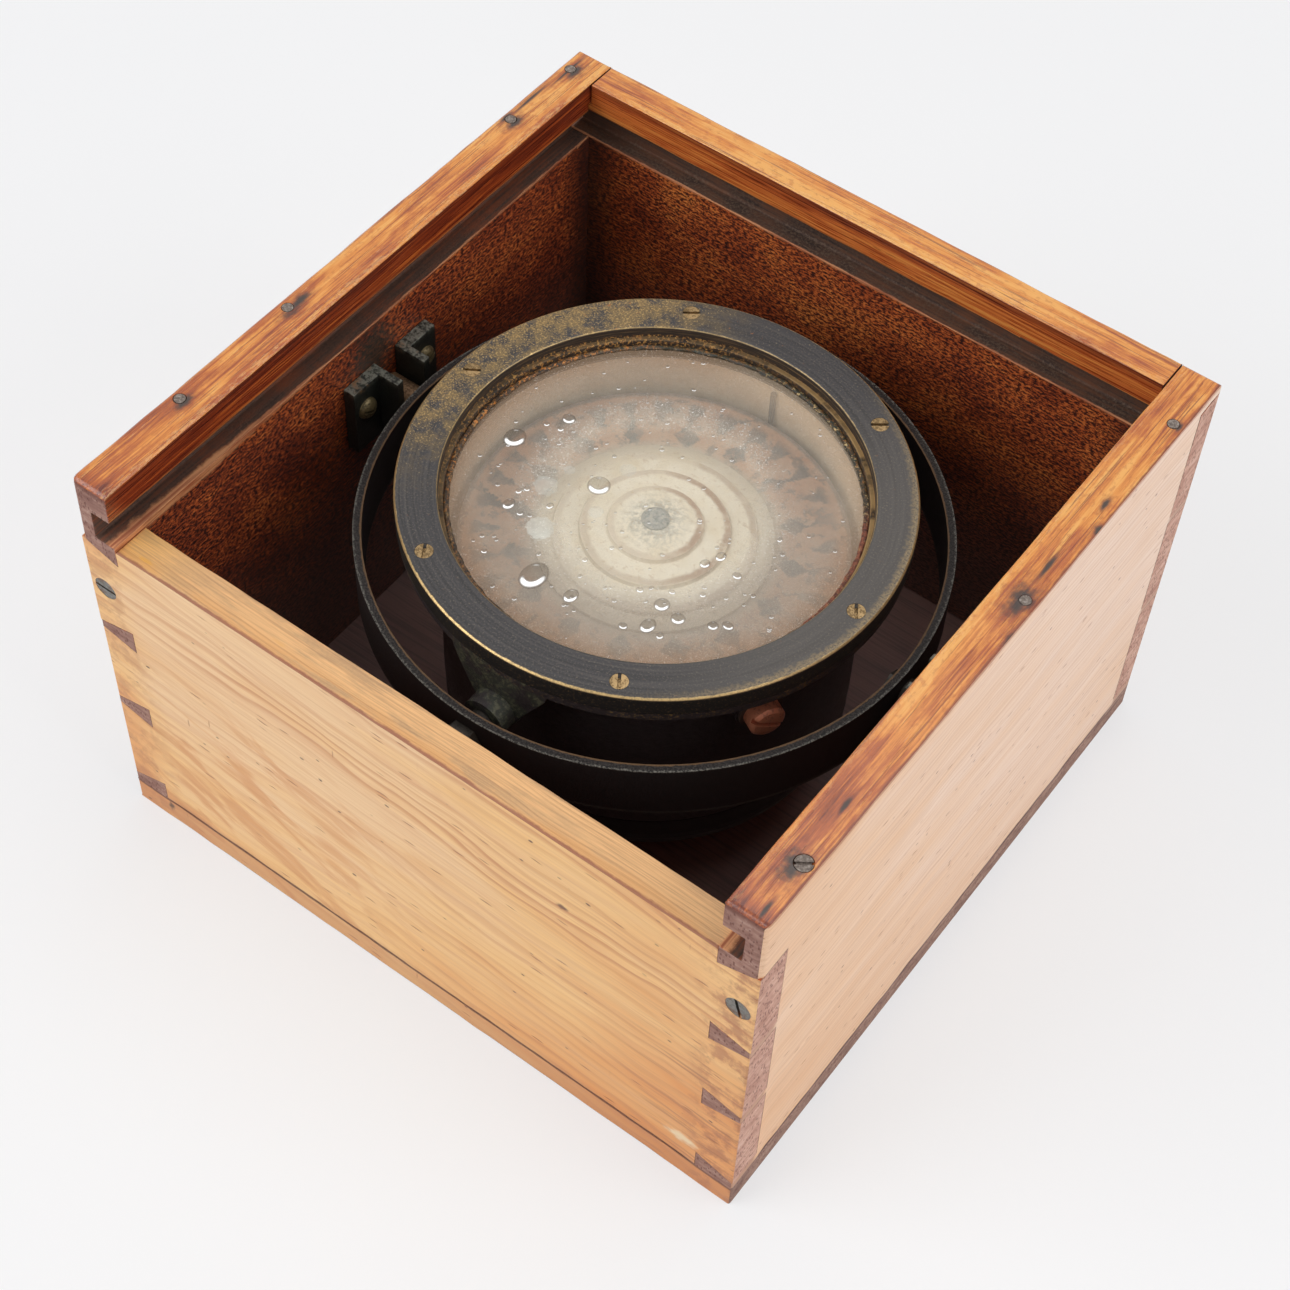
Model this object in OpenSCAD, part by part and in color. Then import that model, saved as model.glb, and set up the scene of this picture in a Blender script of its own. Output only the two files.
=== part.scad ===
// Gimbal compass: a liquid boat compass hung in a gimbal ring inside a dovetailed box with lid grooves.
// Millimetres. X runs from the left wall to the right wall, Y from the low front wall to the back wall,
// Z up. The origin is the middle of the box's underside. The ring turns about X, the bowl about Y.

/* [Box] */
// Outside width, left to right
box_w = 220; // [205:1:280]
// Outside depth, front to back
box_d = 216; // [200:1:280]
// Outside height, with the bottom board
box_h = 148; // [128:1:190]
// Thickness of the side walls
side_t = 12.5; // [10:0.5:16]
// Thickness of the front wall
front_t = 11.5; // [9:0.5:15]
// Thickness of the back wall
back_t = 11; // [9:0.5:15]
// Thickness of the bottom board
bottom_t = 9.5; // [7:0.5:14]
// Height of the lip above the lid groove
lip_h = 10.5; // [7:0.5:14]
// Height of the lid groove
groove_h = 9.5; // [6:0.5:12]
// Depth of the lid groove in the side walls
groove_side = 6.5; // [3:0.5:7]
// Depth of the lid groove in the back wall
groove_back = 5.5; // [3:0.5:6]
// Step from the lid groove's floor down to the front wall's top
lid_step = 1.5; // [0.5:0.5:4]

/* [Dovetails] */
// Tails at each end of the front and back walls
tail_count = 3; // [2:1:5]
// Height of a pin at the outer corner
pin_out = 2.6; // [2:0.2:5]
// Height of a pin at the inner line
pin_in = 8.8; // [6:0.2:12]
// Height of a half pin at the outer corner
half_pin_out = 3.6; // [2.6:0.2:6]
// Height of a half pin at the inner line
half_pin_in = 7.8; // [6:0.2:10]

/* [Fasteners] */
// Head diameter of the front wall's screws
front_screw_head = 7.4; // [6:0.2:8]
// Distance of the front wall's screws below the lid groove
front_screw_drop = 22.5; // [18:0.5:30]
// Length of the front wall's screws
front_screw_len = 30; // [22:1:38]
// Head diameter of the nails
nail_head = 3.2; // [3:0.2:5]
// Shank diameter of the nails
nail_shank = 1.8; // [1.4:0.2:2.6]
// Length of the nails
nail_len = 28; // [20:1:32]
// Head diameter of the bracket screws
bracket_screw_head = 7; // [6:0.2:8]
// Shank diameter of the bracket screws
bracket_screw_shank = 3.6; // [3:0.2:4.2]
// Head diameter of the bezel screws
bezel_screw_head = 5; // [4:0.2:6]
// Shank diameter of the bezel screws
bezel_screw_shank = 2.5; // [2:0.1:3]
// Number of bezel screws
bezel_screw_count = 6; // [4:1:8]
// Number of screws in the bowl's bottom cap
cap_screw_count = 6; // [4:1:8]

/* [Brackets] */
// Bracket height above the ring's axis
bracket_up = 12.8; // [9:0.2:16]
// Bracket height below the ring's axis
bracket_down = 11.5; // [9:0.5:16]
// Reach of the webs from the wall
web_reach = 11; // [8:0.5:11.5]
// Thickness of the webs
web_t = 2.6; // [2:0.2:4]
// Width of each flange, measured from the bracket's middle
flange_half = 18; // [16:0.5:24]
// Thickness of the flanges
flange_t = 4; // [3:0.2:5]
// Distance of the flange screws from the bracket's middle
flange_screw_y = 13; // [12:0.5:16]
// Height of the flange screws above the ring's axis
flange_screw_up = 3.8; // [0:0.2:6]

/* [Gimbal ring] */
// Least gap between the ring and the walls
ring_gap = 13.1; // [12.5:0.1:20]
// Height of the ring's strip
ring_h = 19; // [14:0.5:22]
// Thickness of the ring's strip
ring_t = 2.5; // [2:0.1:3.5]
// Diameter of the trunnions
trunnion_d = 9; // [7:0.5:10]
// Diameter of the threaded body of the bowl's pivot screws
pivot_screw_d = 7; // [6:0.5:8]
// Diameter of the journals that the bowl turns on
journal_d = 5; // [4:0.2:5.6]
// Length of the journals inside the bowl's lugs
journal_len = 8; // [6:0.5:9]
// Radial clearance of the running fits
running_fit = 0.06; // [0.03:0.01:0.1]

/* [Bowl] */
// Height of the bezel's top above the ring's axis
bezel_rise = 24.8; // [20:0.2:28]
// Gap between the bezel's top and the lid
lid_gap = 3.2; // [2:0.2:8]
// Gap between the bezel and the ring
bezel_gap = 9.4; // [6:0.2:12]
// Width of the flange outside the bowl's wall
flange_out = 11.5; // [10:0.5:13]
// Thickness of the bowl's wall
bowl_t = 2.5; // [2:0.1:3]
// Thickness of the bowl's flange
bowl_flange_t = 2.5; // [2:0.1:4]
// Least gap between the bowl's bottom and the box when the bowl swings
swing_gap = 3.7; // [2:0.1:10]
// Height of the bottom cap
cap_h = 20.4; // [17:0.2:24]
// Radius of the rounded edge of the bottom cap
cap_round = 14; // [10:0.5:16]
// Thickness of the diaphragm
diaphragm_t = 0.6; // [0.4:0.1:1]
// Gap between the lead weight and the rounded edge of the bottom cap
weight_gap = 5.8; // [3:0.2:10]
// Thickness of the lead weight
weight_t = 12; // [8:0.5:13]
// Half width of a lug under the flange
lug_top = 16; // [12:0.5:18]
// Gap between a lug's boss and the ring
lug_gap = 4.9; // [3:0.1:8]
// Radius of a lug round its hole
lug_r = 7; // [5.5:0.5:9]
// Direction of the filler plug, from +X
plug_turn = -28; // [-40:1:-15]
// Height of the filler plug above the ring's axis
plug_up = 3.5; // [0:0.5:5]
// Head diameter of the filler plug
plug_head = 10.4; // [8:0.2:12]

/* [Bezel and glass] */
// Height of the bezel
bezel_h = 6.3; // [5:0.1:8]
// Width of the bezel's flat top
bezel_flat = 11.9; // [10:0.1:13]
// Width of the step that holds the glass
bezel_step = 1.4; // [1:0.1:2]
// Height of the step that holds the glass
bezel_step_h = 2.4; // [1.6:0.1:3]
// Thickness of the glass
glass_t = 3; // [2:0.1:4]
// Thickness of the seal under the glass
seal_t = 0.9; // [0.5:0.1:1.5]
// Thickness of the gasket under the bezel
gasket_t = 0.5; // [0.3:0.1:1]
// Width of the putty bead on the glass
putty_w = 1.7; // [1:0.1:2.5]

/* [Card] */
// Gap between the card and the bowl's wall
card_gap = 2.5; // [2:0.1:4]
// Drop from the glass to the card
card_drop = 13.1; // [11:0.1:16]
// Thickness of the card
card_t = 0.5; // [0.3:0.1:1]
// Width of the card outside the float dome
card_w = 21.5; // [18:0.5:24]
// Rise of each of the dome's steps
dome_rise = 1.9; // [1.5:0.1:2.2]
// Wall of the float dome
dome_t = 0.8; // [0.5:0.1:1]
// Distance of the magnets' ends from the float's edge
magnet_edge = 2; // [1:0.5:8]
// Distance of the magnets from the card's middle
magnet_x = 14; // [8:0.5:20]

/* [Hidden] */

$fn = 96;
// Overshoot of cutting shapes
cut = 1;
// Gap left round a screw or nail in its hole
hole_fit = 0.05;
// Width and depth of a screw slot
slot_w = 0.9;
slot_deep = 1.1;

// Box, worked out
half_w = box_w / 2;
half_d = box_d / 2;
in_x = half_w - side_t;
in_front = half_d - front_t;
in_back = half_d - back_t;
groove_z = box_h - lip_h - groove_h;
front_top = groove_z - lid_step;
lid_half = in_x + groove_side;

// Ring and bowl, worked out
axis_z = groove_z - lid_gap - bezel_rise;
ring_r = min(in_x, in_front, in_back) - ring_gap;
ring_in = ring_r - ring_t;
bezel_r = ring_in - bezel_gap;
bezel_top = axis_z + bezel_rise;
bezel_z = bezel_top - bezel_h;
flange_top = bezel_z - gasket_t;
flange_z = flange_top - bowl_flange_t;
glass_z = bezel_z - glass_t;
seat_z = glass_z - seal_t;
bowl_r = bezel_r - flange_out;
bowl_in = bowl_r - bowl_t;
neck_r = bowl_r + 3;
neck_z = flange_z - 4.3;
flange_r = bezel_r - 0.3;
rebate_r = bowl_in + 3;
glass_r = rebate_r - 0.2;
bezel_in = bezel_r - bezel_flat;
step_in = bezel_in - bezel_step;
bezel_screw_r = (bezel_r + bezel_in) / 2 + 1;
boss_out = ring_in - lug_gap;
cap_r = bowl_r - 0.2;
swing_r = min(in_x, in_front, in_back, axis_z - bottom_t) - swing_gap;
bowl_drop = cap_round + sqrt(pow(swing_r - cap_round, 2) - pow(cap_r - cap_round, 2));
cap_z = axis_z - bowl_drop;
cap_top = cap_z + cap_h;
weight_r = cap_r - cap_round - weight_gap;
ledge_z = cap_top + diaphragm_t;
ledge_t = 4;
ledge_top = ledge_z + ledge_t;
ledge_in = bowl_in - 10.5;
cap_rim_in = ledge_in + 2;
cap_screw_r = ledge_in + 5.6;
cap_wall = 3;
bridge_t = 3;
bridge_w = 14;
bridge_top = ledge_top + bridge_t;
bridge_screw_x = ledge_in + 5;
plug_z = axis_z + plug_up;
socket_out = bowl_r + 4.5;
socket_r = 7;
plug_bore = 3.4;
washer_t = 0.8;

// Card, worked out
card_r = bowl_in - card_gap;
card_top = glass_z - card_drop;
card_z = card_top - card_t;
float_r = card_r - card_w;
base_t = 0.8;
base_z = card_z - base_t;
base_r = float_r + 2.5;
dome_edge = 5;
dome_step = 7.6;
dome_rim = 1.2;
dome_steps = 3;
hub_r = 4;
stem_r = 3;
dome_top = card_top + dome_rim + dome_steps * dome_rise + 1.4;
cup_r = 2;
cup_z = card_top + 2.4;
cup_h = 2.6;
stem_z = cup_z - 1.5;
needle_r = 0.9;
needle_tip = cup_z + cup_h - 0.6;
needle_gap = 0.1;
magnet_w = 4;
magnet_h = 5;
magnet_len = 2 * sqrt(pow(base_r - magnet_edge, 2) - pow(magnet_x + magnet_w / 2, 2));
post_top = base_z - magnet_h - 1;
lubber_w = 1.4;
lubber_t = 1.2;
lubber_h = 17;

// Screws whose sizes don't show
front_screw_shank = 3.8;
front_screw_z = groove_z - front_screw_drop;
top_screw_head = 4.8;
top_screw_shank = 3;
top_screw_len = 24;
bezel_screw_len = 9;
cap_screw_head_z = cap_top - 11;

// Where the nails stand along each board, as shares of its length
left_nails = [-0.325, -0.127, 0.326, 0.458];
right_nails = [0.4, 0.049];
right_screw = -0.407;
bottom_nails_x = [-0.32, 0, 0.32];
bottom_nails_y = [-0.28, 0.28];
// Middle of the wood outside the lid groove
edge_mid = half_w - (side_t - groove_side) / 2 - 0.6;
// Turn of each bezel screw's slot, from +X, and of the front screws' slots
bezel_slots = [124, 37, 37, 33, 122, 124, 40, 110];
bezel_first = -2;
front_slots = [0, -74];

// A countersunk slotted screw along -Z with its face at the origin
module flat_screw(head, shank, len, turn = 0) {
  head_h = (head - shank) / 2;
  difference() {
    rotate_extrude() polygon([
      [0, 0], [head / 2, 0], [head / 2, -0.2], [shank / 2, -head_h - 0.2], [shank / 2, -len], [0, -len]
    ]);
    rotate([0, 0, turn]) translate([-head, -slot_w / 2, -min(slot_deep, head_h * 0.8)])
      cube([2 * head, slot_w, slot_deep + cut]);
  }
}

// The hole for such a screw, open above its face; through makes it longer than the screw
module flat_screw_hole(head, shank, len, through = 0) {
  head_h = (head - shank) / 2;
  rotate_extrude() polygon([
    [0, cut], [head / 2 + hole_fit, cut], [head / 2 + hole_fit, -0.2 - hole_fit],
    [shank / 2 + hole_fit, -head_h - 0.2 - hole_fit], [shank / 2 + hole_fit, -len - hole_fit - through],
    [0, -len - hole_fit - through]
  ]);
}

// A round-headed slotted screw along -Z; the head's underside is at the origin
module round_screw(head, shank, len, turn = 0) {
  head_h = head * 0.34;
  dome = [for (a = [0 : 15 : 90]) [head / 2 * cos(a), head_h * sin(a)]];
  difference() {
    union() {
      rotate_extrude() polygon(concat([[0, 0]], dome));
      translate([0, 0, -len]) cylinder(d = shank, h = len + 0.2);
    }
    rotate([0, 0, turn]) translate([-head, -slot_w / 2, head_h - slot_deep])
      cube([2 * head, slot_w, slot_deep + cut]);
  }
}

// A nail along -Z with its face at the origin; as a hole it is wider by fit and open above its face
module nail(fit = 0) {
  head_h = 0.9;
  rotate_extrude() polygon([
    [0, fit > 0 ? cut : 0], [nail_head / 2 + fit, fit > 0 ? cut : 0], [nail_head / 2 + fit, -head_h - fit],
    [nail_shank / 2 + fit, -head_h - fit], [nail_shank / 2 + fit, -nail_len - fit], [0, -nail_len - fit]
  ]);
}

// Heights where tail number k starts, at the outer corner and at the inner line
function pin_pitch(top) =
  (top - bottom_t - half_pin_out - half_pin_in) / tail_count;
function pin_mid(k, top) =
  bottom_t + (half_pin_out + half_pin_in) / 2 + k * pin_pitch(top);
function tail_low(k, top, pin, half_pin) = k == 0 ? bottom_t + half_pin : pin_mid(k, top) + pin / 2;
function tail_high(k, top, pin, half_pin) =
  k == tail_count - 1 ? top - half_pin : pin_mid(k + 1, top) - pin / 2;

// The tails at both ends of a wall of thickness t whose outer face is at y0; top is their upper limit
module tails(y0, t, top) {
  for (side = [-1, 1], k = [0 : tail_count - 1])
    translate([0, y0 + t, 0]) rotate([90, 0, 0]) linear_extrude(t)
      polygon([
        [side * in_x, tail_low(k, top, pin_in, half_pin_in)],
        [side * half_w, tail_low(k, top, pin_out, half_pin_out)],
        [side * half_w, tail_high(k, top, pin_out, half_pin_out)],
        [side * in_x, tail_high(k, top, pin_in, half_pin_in)]
      ]);
}

module front_tails() tails(-half_d, front_t, groove_z);
module back_tails() tails(half_d - back_t, back_t, box_h);

// The space that the sliding lid takes
module lid_space() {
  translate([-lid_half, -half_d - cut, groove_z])
    cube([2 * lid_half, half_d + cut + in_back + groove_back, groove_h]);
}

module place_front_screws() {
  for (i = [0, 1])
    translate([(i == 0 ? -1 : 1) * (half_w - 5.2), -half_d + 0.1, front_screw_z]) rotate([90, 0, 0])
      let ($turn = front_slots[i]) children();
}

module place_top_nails() {
  for (at = left_nails) translate([-edge_mid, at * box_d, box_h - 0.1]) children();
  for (at = right_nails) translate([edge_mid, at * box_d, box_h - 0.1]) children();
}

module place_top_screw() {
  translate([edge_mid - 0.2, right_screw * box_d, box_h - 0.2]) children();
}

module place_bottom_nails() {
  for (at = bottom_nails_x, y = [-half_d + front_t / 2, half_d - back_t / 2])
    translate([at * box_w, y, 0.2]) rotate([180, 0, 0]) children();
  for (at = bottom_nails_y, side = [-1, 1])
    translate([side * (half_w - side_t / 2), at * box_d, 0.2]) rotate([180, 0, 0]) children();
}

module place_bracket_screws(sides = [-1, 1]) {
  for (side = sides, y = [-flange_screw_y, flange_screw_y])
    translate([side * (in_x - flange_t), y, axis_z + flange_screw_up]) rotate([0, -side * 90, 0])
      let ($turn = 90 + y * 1.5) children();
}

module fastener_holes() {
  place_front_screws() flat_screw_hole(front_screw_head, front_screw_shank, front_screw_len);
  place_top_nails() nail(hole_fit);
  place_top_screw() flat_screw_hole(top_screw_head, top_screw_shank, top_screw_len);
  place_bottom_nails() nail(hole_fit);
  place_bracket_screws() translate([0, 0, -flange_t - 9 - hole_fit])
    cylinder(d = bracket_screw_shank + 2 * hole_fit, h = flange_t + 9);
}

module side_wall(side) {
  difference() {
    translate([side > 0 ? in_x : -half_w, -half_d, bottom_t]) cube([side_t, box_d, box_h - bottom_t]);
    front_tails();
    back_tails();
    lid_space();
    fastener_holes();
  }
}

module left_wall() {
  color("peru") side_wall(-1);
}

module right_wall() {
  color("burlywood") side_wall(1);
}

module front_wall() {
  color("sandybrown") difference() {
    union() {
      translate([-in_x, -half_d, bottom_t]) cube([2 * in_x, front_t, front_top - bottom_t]);
      front_tails();
    }
    fastener_holes();
  }
}

module back_wall() {
  color("chocolate") difference() {
    union() {
      translate([-in_x, in_back, bottom_t]) cube([2 * in_x, back_t, box_h - bottom_t]);
      back_tails();
    }
    lid_space();
    fastener_holes();
  }
}

module bottom_board() {
  color("saddlebrown") difference() {
    translate([-half_w, -half_d, 0]) cube([box_w, box_d, bottom_t]);
    place_bottom_nails() nail(hole_fit);
  }
}

module front_wall_screws() {
  color("silver") place_front_screws()
    flat_screw(front_screw_head, front_screw_shank, front_screw_len, $turn);
}

module top_edge_nails() {
  color("dimgray") place_top_nails() nail();
}

module top_edge_screw() {
  color("dimgray") place_top_screw() flat_screw(top_screw_head, top_screw_shank, top_screw_len, 35);
}

module bottom_nails() {
  color("dimgray") place_bottom_nails() nail();
}

// A trunnion bracket: two flanges on the wall and two webs with a slot that is open at the top
module bracket(side) {
  slot_r = trunnion_d / 2 + running_fit;
  height = bracket_up + bracket_down;
  bottom = axis_z - bracket_down;
  difference() {
    union() {
      translate([side > 0 ? in_x - flange_t : -in_x, -flange_half, bottom])
        cube([flange_t, 2 * flange_half, height]);
      translate([side > 0 ? in_x - web_reach : -in_x, -slot_r - web_t, bottom])
        cube([web_reach, 2 * (slot_r + web_t), height]);
    }
    translate([side * (in_x - web_reach / 2), 0, axis_z]) rotate([0, 90, 0])
      cylinder(r = slot_r, h = web_reach + 2 * cut, center = true);
    translate([side * (in_x - web_reach / 2) - web_reach / 2 - cut, -slot_r, axis_z])
      cube([web_reach + 2 * cut, 2 * slot_r, bracket_up + cut]);
    place_bracket_screws([side]) translate([0, 0, -flange_t - cut])
      cylinder(d = bracket_screw_shank + 2 * hole_fit, h = flange_t + 2 * cut);
  }
}

module bracket_left() {
  color("darkslategray") bracket(-1);
}

module bracket_right() {
  color("darkslategray") bracket(1);
}

module bracket_screws() {
  color("goldenrod") place_bracket_screws()
    round_screw(bracket_screw_head, bracket_screw_shank, flange_t + 9, $turn);
}

module gimbal_ring() {
  color("black") difference() {
    translate([0, 0, axis_z - ring_h / 2]) cylinder(r = ring_r, h = ring_h, $fn = 180);
    translate([0, 0, axis_z - ring_h / 2 - cut]) cylinder(r = ring_in, h = ring_h + 2 * cut, $fn = 180);
    translate([0, 0, axis_z]) rotate([0, 90, 0])
      cylinder(d = trunnion_d * 0.55 + 2 * hole_fit, h = 2 * ring_r + 2 * cut, center = true);
    translate([0, 0, axis_z]) rotate([90, 0, 0])
      cylinder(d = pivot_screw_d + 2 * hole_fit, h = 2 * ring_r + 2 * cut, center = true);
  }
}

// A trunnion from the ring to just short of the wall, with a thinner shank through the ring
module trunnion(side) {
  shank_in = ring_in - 2.6;
  translate([0, 0, axis_z]) rotate([0, side * 90, 0]) {
    translate([0, 0, ring_r + 0.02]) cylinder(d = trunnion_d, h = in_x - 1 - ring_r);
    translate([0, 0, shank_in]) cylinder(d = trunnion_d * 0.55, h = ring_r - shank_in + cut);
  }
}

module trunnion_left() {
  color("darkgoldenrod") trunnion(-1);
}

module trunnion_right() {
  color("darkgoldenrod") trunnion(1);
}

module trunnion_nuts() {
  color("darkgoldenrod") for (side = [-1, 1])
    translate([0, 0, axis_z]) rotate([0, side * 90, 0]) translate([0, 0, ring_in - 2.6])
      difference() {
        cylinder(r = 4.6, h = 2.4, $fn = 6);
        translate([0, 0, -cut]) cylinder(d = trunnion_d * 0.55 + 2 * hole_fit, h = 2.4 + 2 * cut);
      }
}

// A pivot screw: a threaded body through the ring and a plain journal inside the bowl's lug
module pivot_screw(side) {
  out = ring_r + 5.4;
  translate([0, 0, axis_z]) rotate([-side * 90, 0, 0]) difference() {
    union() {
      translate([0, 0, boss_out + 0.25]) cylinder(d = pivot_screw_d, h = out - boss_out - 0.25);
      translate([0, 0, boss_out - journal_len]) cylinder(d = journal_d, h = journal_len + cut);
    }
    translate([-pivot_screw_d, -slot_w / 2, out - slot_deep])
      cube([2 * pivot_screw_d, slot_w, slot_deep + cut]);
  }
}

module pivot_screw_front() {
  color("darkgoldenrod") pivot_screw(-1);
}

module pivot_screw_back() {
  color("darkgoldenrod") pivot_screw(1);
}

module pivot_lock_nuts() {
  color("darkgoldenrod") for (side = [-1, 1])
    translate([0, 0, axis_z]) rotate([-side * 90, 0, 0]) translate([0, 0, ring_r + 0.05])
      difference() {
        cylinder(r = 6.2, h = 3.4, $fn = 6);
        translate([0, 0, -cut]) cylinder(d = pivot_screw_d + 2 * hole_fit, h = 3.4 + 2 * cut);
      }
}

// The two lugs that hang from the flange and carry the bowl; each starts inside the bowl's wall
module lugs() {
  lug_in = bowl_in + 0.15;
  drop = flange_z - axis_z;
  for (turn = [0, 180]) rotate([0, 0, turn]) difference() {
    translate([0, 0, axis_z]) rotate([-90, 0, 0]) {
      intersection() {
        translate([0, 0, lug_in]) linear_extrude(flange_r - lug_in) polygon(concat(
          [[lug_top, -drop - 0.6], [lug_top - 1, -drop + 3], [lug_r, 0]],
          [for (a = [15 : 15 : 165]) [lug_r * cos(a), lug_r * sin(a)]],
          [[-lug_r, 0], [-lug_top + 1, -drop + 3], [-lug_top, -drop - 0.6]]
        ));
        rotate([90, 0, 0]) translate([0, 0, -2 * lug_top]) cylinder(r = flange_r - 0.4, h = 4 * lug_top);
      }
      translate([0, 0, lug_in + 1]) cylinder(r = lug_r - 0.6, h = boss_out - lug_in - 1);
    }
    translate([0, 0, seat_z]) cylinder(r = rebate_r + 0.2, h = flange_top - seat_z + cut);
    translate([0, 0, axis_z]) rotate([-90, 0, 0]) translate([0, 0, boss_out - journal_len - 0.5])
      cylinder(r = journal_d / 2 + running_fit, h = journal_len + 0.5 + cut);
  }
}

module along_plug(start) {
  translate([0, 0, plug_z]) rotate([0, 0, plug_turn]) rotate([0, 90, 0]) translate([0, 0, start])
    children();
}

module place_bezel_screws() {
  for (k = [0 : bezel_screw_count - 1])
    rotate([0, 0, bezel_first + k * 360 / bezel_screw_count]) translate([bezel_screw_r, 0, bezel_top - 0.1])
      rotate([0, 0, -bezel_first - k * 360 / bezel_screw_count]) let ($turn = bezel_slots[k]) children();
}

module bezel_screw_holes() {
  place_bezel_screws() flat_screw_hole(bezel_screw_head, bezel_screw_shank, bezel_screw_len, cut);
}

module place_cap_screws() {
  for (k = [0 : cap_screw_count - 1])
    rotate([0, 0, 30 + k * 360 / cap_screw_count]) translate([cap_screw_r, 0, 0]) children();
}

module bowl_body() {
  color("dimgray") difference() {
    union() {
      rotate_extrude($fn = 180) polygon([
        [ledge_in, ledge_z], [bowl_r, ledge_z], [bowl_r, neck_z], [neck_r, flange_z],
        [flange_r, flange_z], [flange_r, flange_top], [rebate_r, flange_top], [rebate_r, seat_z],
        [bowl_in, seat_z], [bowl_in, ledge_top], [ledge_in, ledge_top]
      ]);
      lugs();
      along_plug(bowl_in + 0.5) cylinder(r = socket_r, h = socket_out - bowl_in - 0.5);
    }
    along_plug(bowl_in - 4) cylinder(r = plug_bore + hole_fit, h = 14);
    bezel_screw_holes();
    place_cap_screws() translate([0, 0, ledge_z - cut]) cylinder(r = 1.55, h = 3 + cut);
    for (side = [-1, 1]) translate([side * bridge_screw_x, 0, ledge_z + 0.8])
      cylinder(r = 1.65, h = ledge_t);
  }
}

// The cap's outer outline from the rim down round the edge, drawn inwards by t
function cap_edge(t) = concat(
  [[cap_r - t, cap_top]],
  [for (a = [0 : 10 : 90]) [cap_r - cap_round + (cap_round - t) * cos(a),
                            cap_z + cap_round - (cap_round - t) * sin(a)]],
  [[0, cap_z + t]]
);

module bowl_bottom() {
  color("dimgray") difference() {
    rotate_extrude($fn = 180) polygon(concat([[0, cap_top]], cap_edge(0)));
    difference() {
      translate([0, 0, 0.01]) rotate_extrude($fn = 180) polygon(concat([[0, cap_top]], cap_edge(cap_wall)));
      translate([0, 0, cap_z]) rotate_extrude()
        polygon([[cap_rim_in, 0], [cap_r + cut, 0], [cap_r + cut, cap_h + cut], [cap_rim_in, cap_h + cut]]);
    }
    translate([0, 0, cap_top - cut]) cylinder(r = cap_rim_in, h = 2 * cut);
    place_cap_screws() translate([0, 0, cap_z]) cylinder(r = 1.6, h = cap_h + cut);
    place_cap_screws() translate([0, 0, cap_z - cut])
      cylinder(r = 3.1, h = cap_screw_head_z - cap_z + cut);
  }
}

module bottom_screws() {
  color("goldenrod") place_cap_screws() translate([0, 0, cap_screw_head_z]) difference() {
    union() {
      translate([0, 0, -2]) cylinder(r = 2.8, h = 2);
      translate([0, 0, -cut]) cylinder(r = 1.5, h = ledge_z + 2.6 - cap_screw_head_z + cut);
    }
    translate([-4, -slot_w / 2, -2 - cut]) cube([8, slot_w, slot_deep + cut]);
  }
}

module lead_weight() {
  color("slategray") translate([0, 0, cap_z + cap_wall + 0.01]) cylinder(r = weight_r, h = weight_t);
}

// A thin corrugated disc clamped between the bowl's ledge and the bottom cap
module diaphragm() {
  waves = 4;
  wave_in = 8;
  wave_out = ledge_in - 1;
  depth = 1.2;
  steps = 40;
  ripple = [for (i = [0 : steps])
    let (r = wave_out - (wave_out - wave_in) * i / steps)
      [r, ledge_z - diaphragm_t - depth * (1 - cos(360 * waves * i / steps)) / 2]];
  color("goldenrod") difference() {
    rotate_extrude() polygon(concat(
      [[cap_r - 0.6, ledge_z], [cap_r - 0.6, ledge_z - diaphragm_t]], ripple, [[0, ledge_z - diaphragm_t]],
      [[0, ledge_z]], [for (i = [steps : -1 : 0]) ripple[i] + [0, diaphragm_t]]
    ));
    place_cap_screws() translate([0, 0, cap_top - cut]) cylinder(r = 1.6, h = 3 * cut);
  }
}

module pivot_bridge() {
  color("darkgoldenrod") difference() {
    intersection() {
      translate([-bowl_in, -bridge_w / 2, ledge_top]) cube([2 * bowl_in, bridge_w, bridge_t]);
      translate([0, 0, ledge_top - cut]) cylinder(r = bowl_in - 0.4, h = bridge_t + 2 * cut);
    }
    translate([0, 0, ledge_top - cut]) cylinder(r = 2 + hole_fit, h = bridge_t + 2 * cut);
    for (side = [-1, 1]) translate([side * bridge_screw_x, 0, ledge_top - cut])
      cylinder(r = 1.65, h = bridge_t + 2 * cut);
  }
}

module bridge_screws() {
  color("goldenrod") for (side = [-1, 1])
    translate([side * bridge_screw_x, 0, bridge_top]) round_screw(5.6, 3.2, bridge_t + 3, side * 40);
}

module pivot_post() {
  color("goldenrod") difference() {
    rotate_extrude() polygon([
      [0, ledge_top + 0.2], [2, ledge_top + 0.2], [2, bridge_top], [5, bridge_top], [5, bridge_top + 2],
      [3, bridge_top + 2.8], [3, post_top - 3], [2, post_top], [0, post_top]
    ]);
    translate([0, 0, post_top - 6]) cylinder(r = needle_r + 0.03, h = 6 + cut);
  }
}

module pivot_needle() {
  color("silver") rotate_extrude() polygon([
    [0, post_top - 5.9], [needle_r, post_top - 5.9], [needle_r, needle_tip - needle_gap - 2.4],
    [0.12, needle_tip - needle_gap], [0, needle_tip - needle_gap]
  ]);
}

module lubber_line() {
  color("black") translate([-lubber_w / 2, bowl_in - lubber_t - 0.05, glass_z - 2 - lubber_h])
    cube([lubber_w, lubber_t, lubber_h]);
}

// A flat ring between two radii and two heights
module washer(r1, r2, z1, z2, facets = 180) {
  rotate_extrude($fn = facets) polygon([[r1, z1], [r2, z1], [r2, z2], [r1, z2]]);
}

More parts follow.
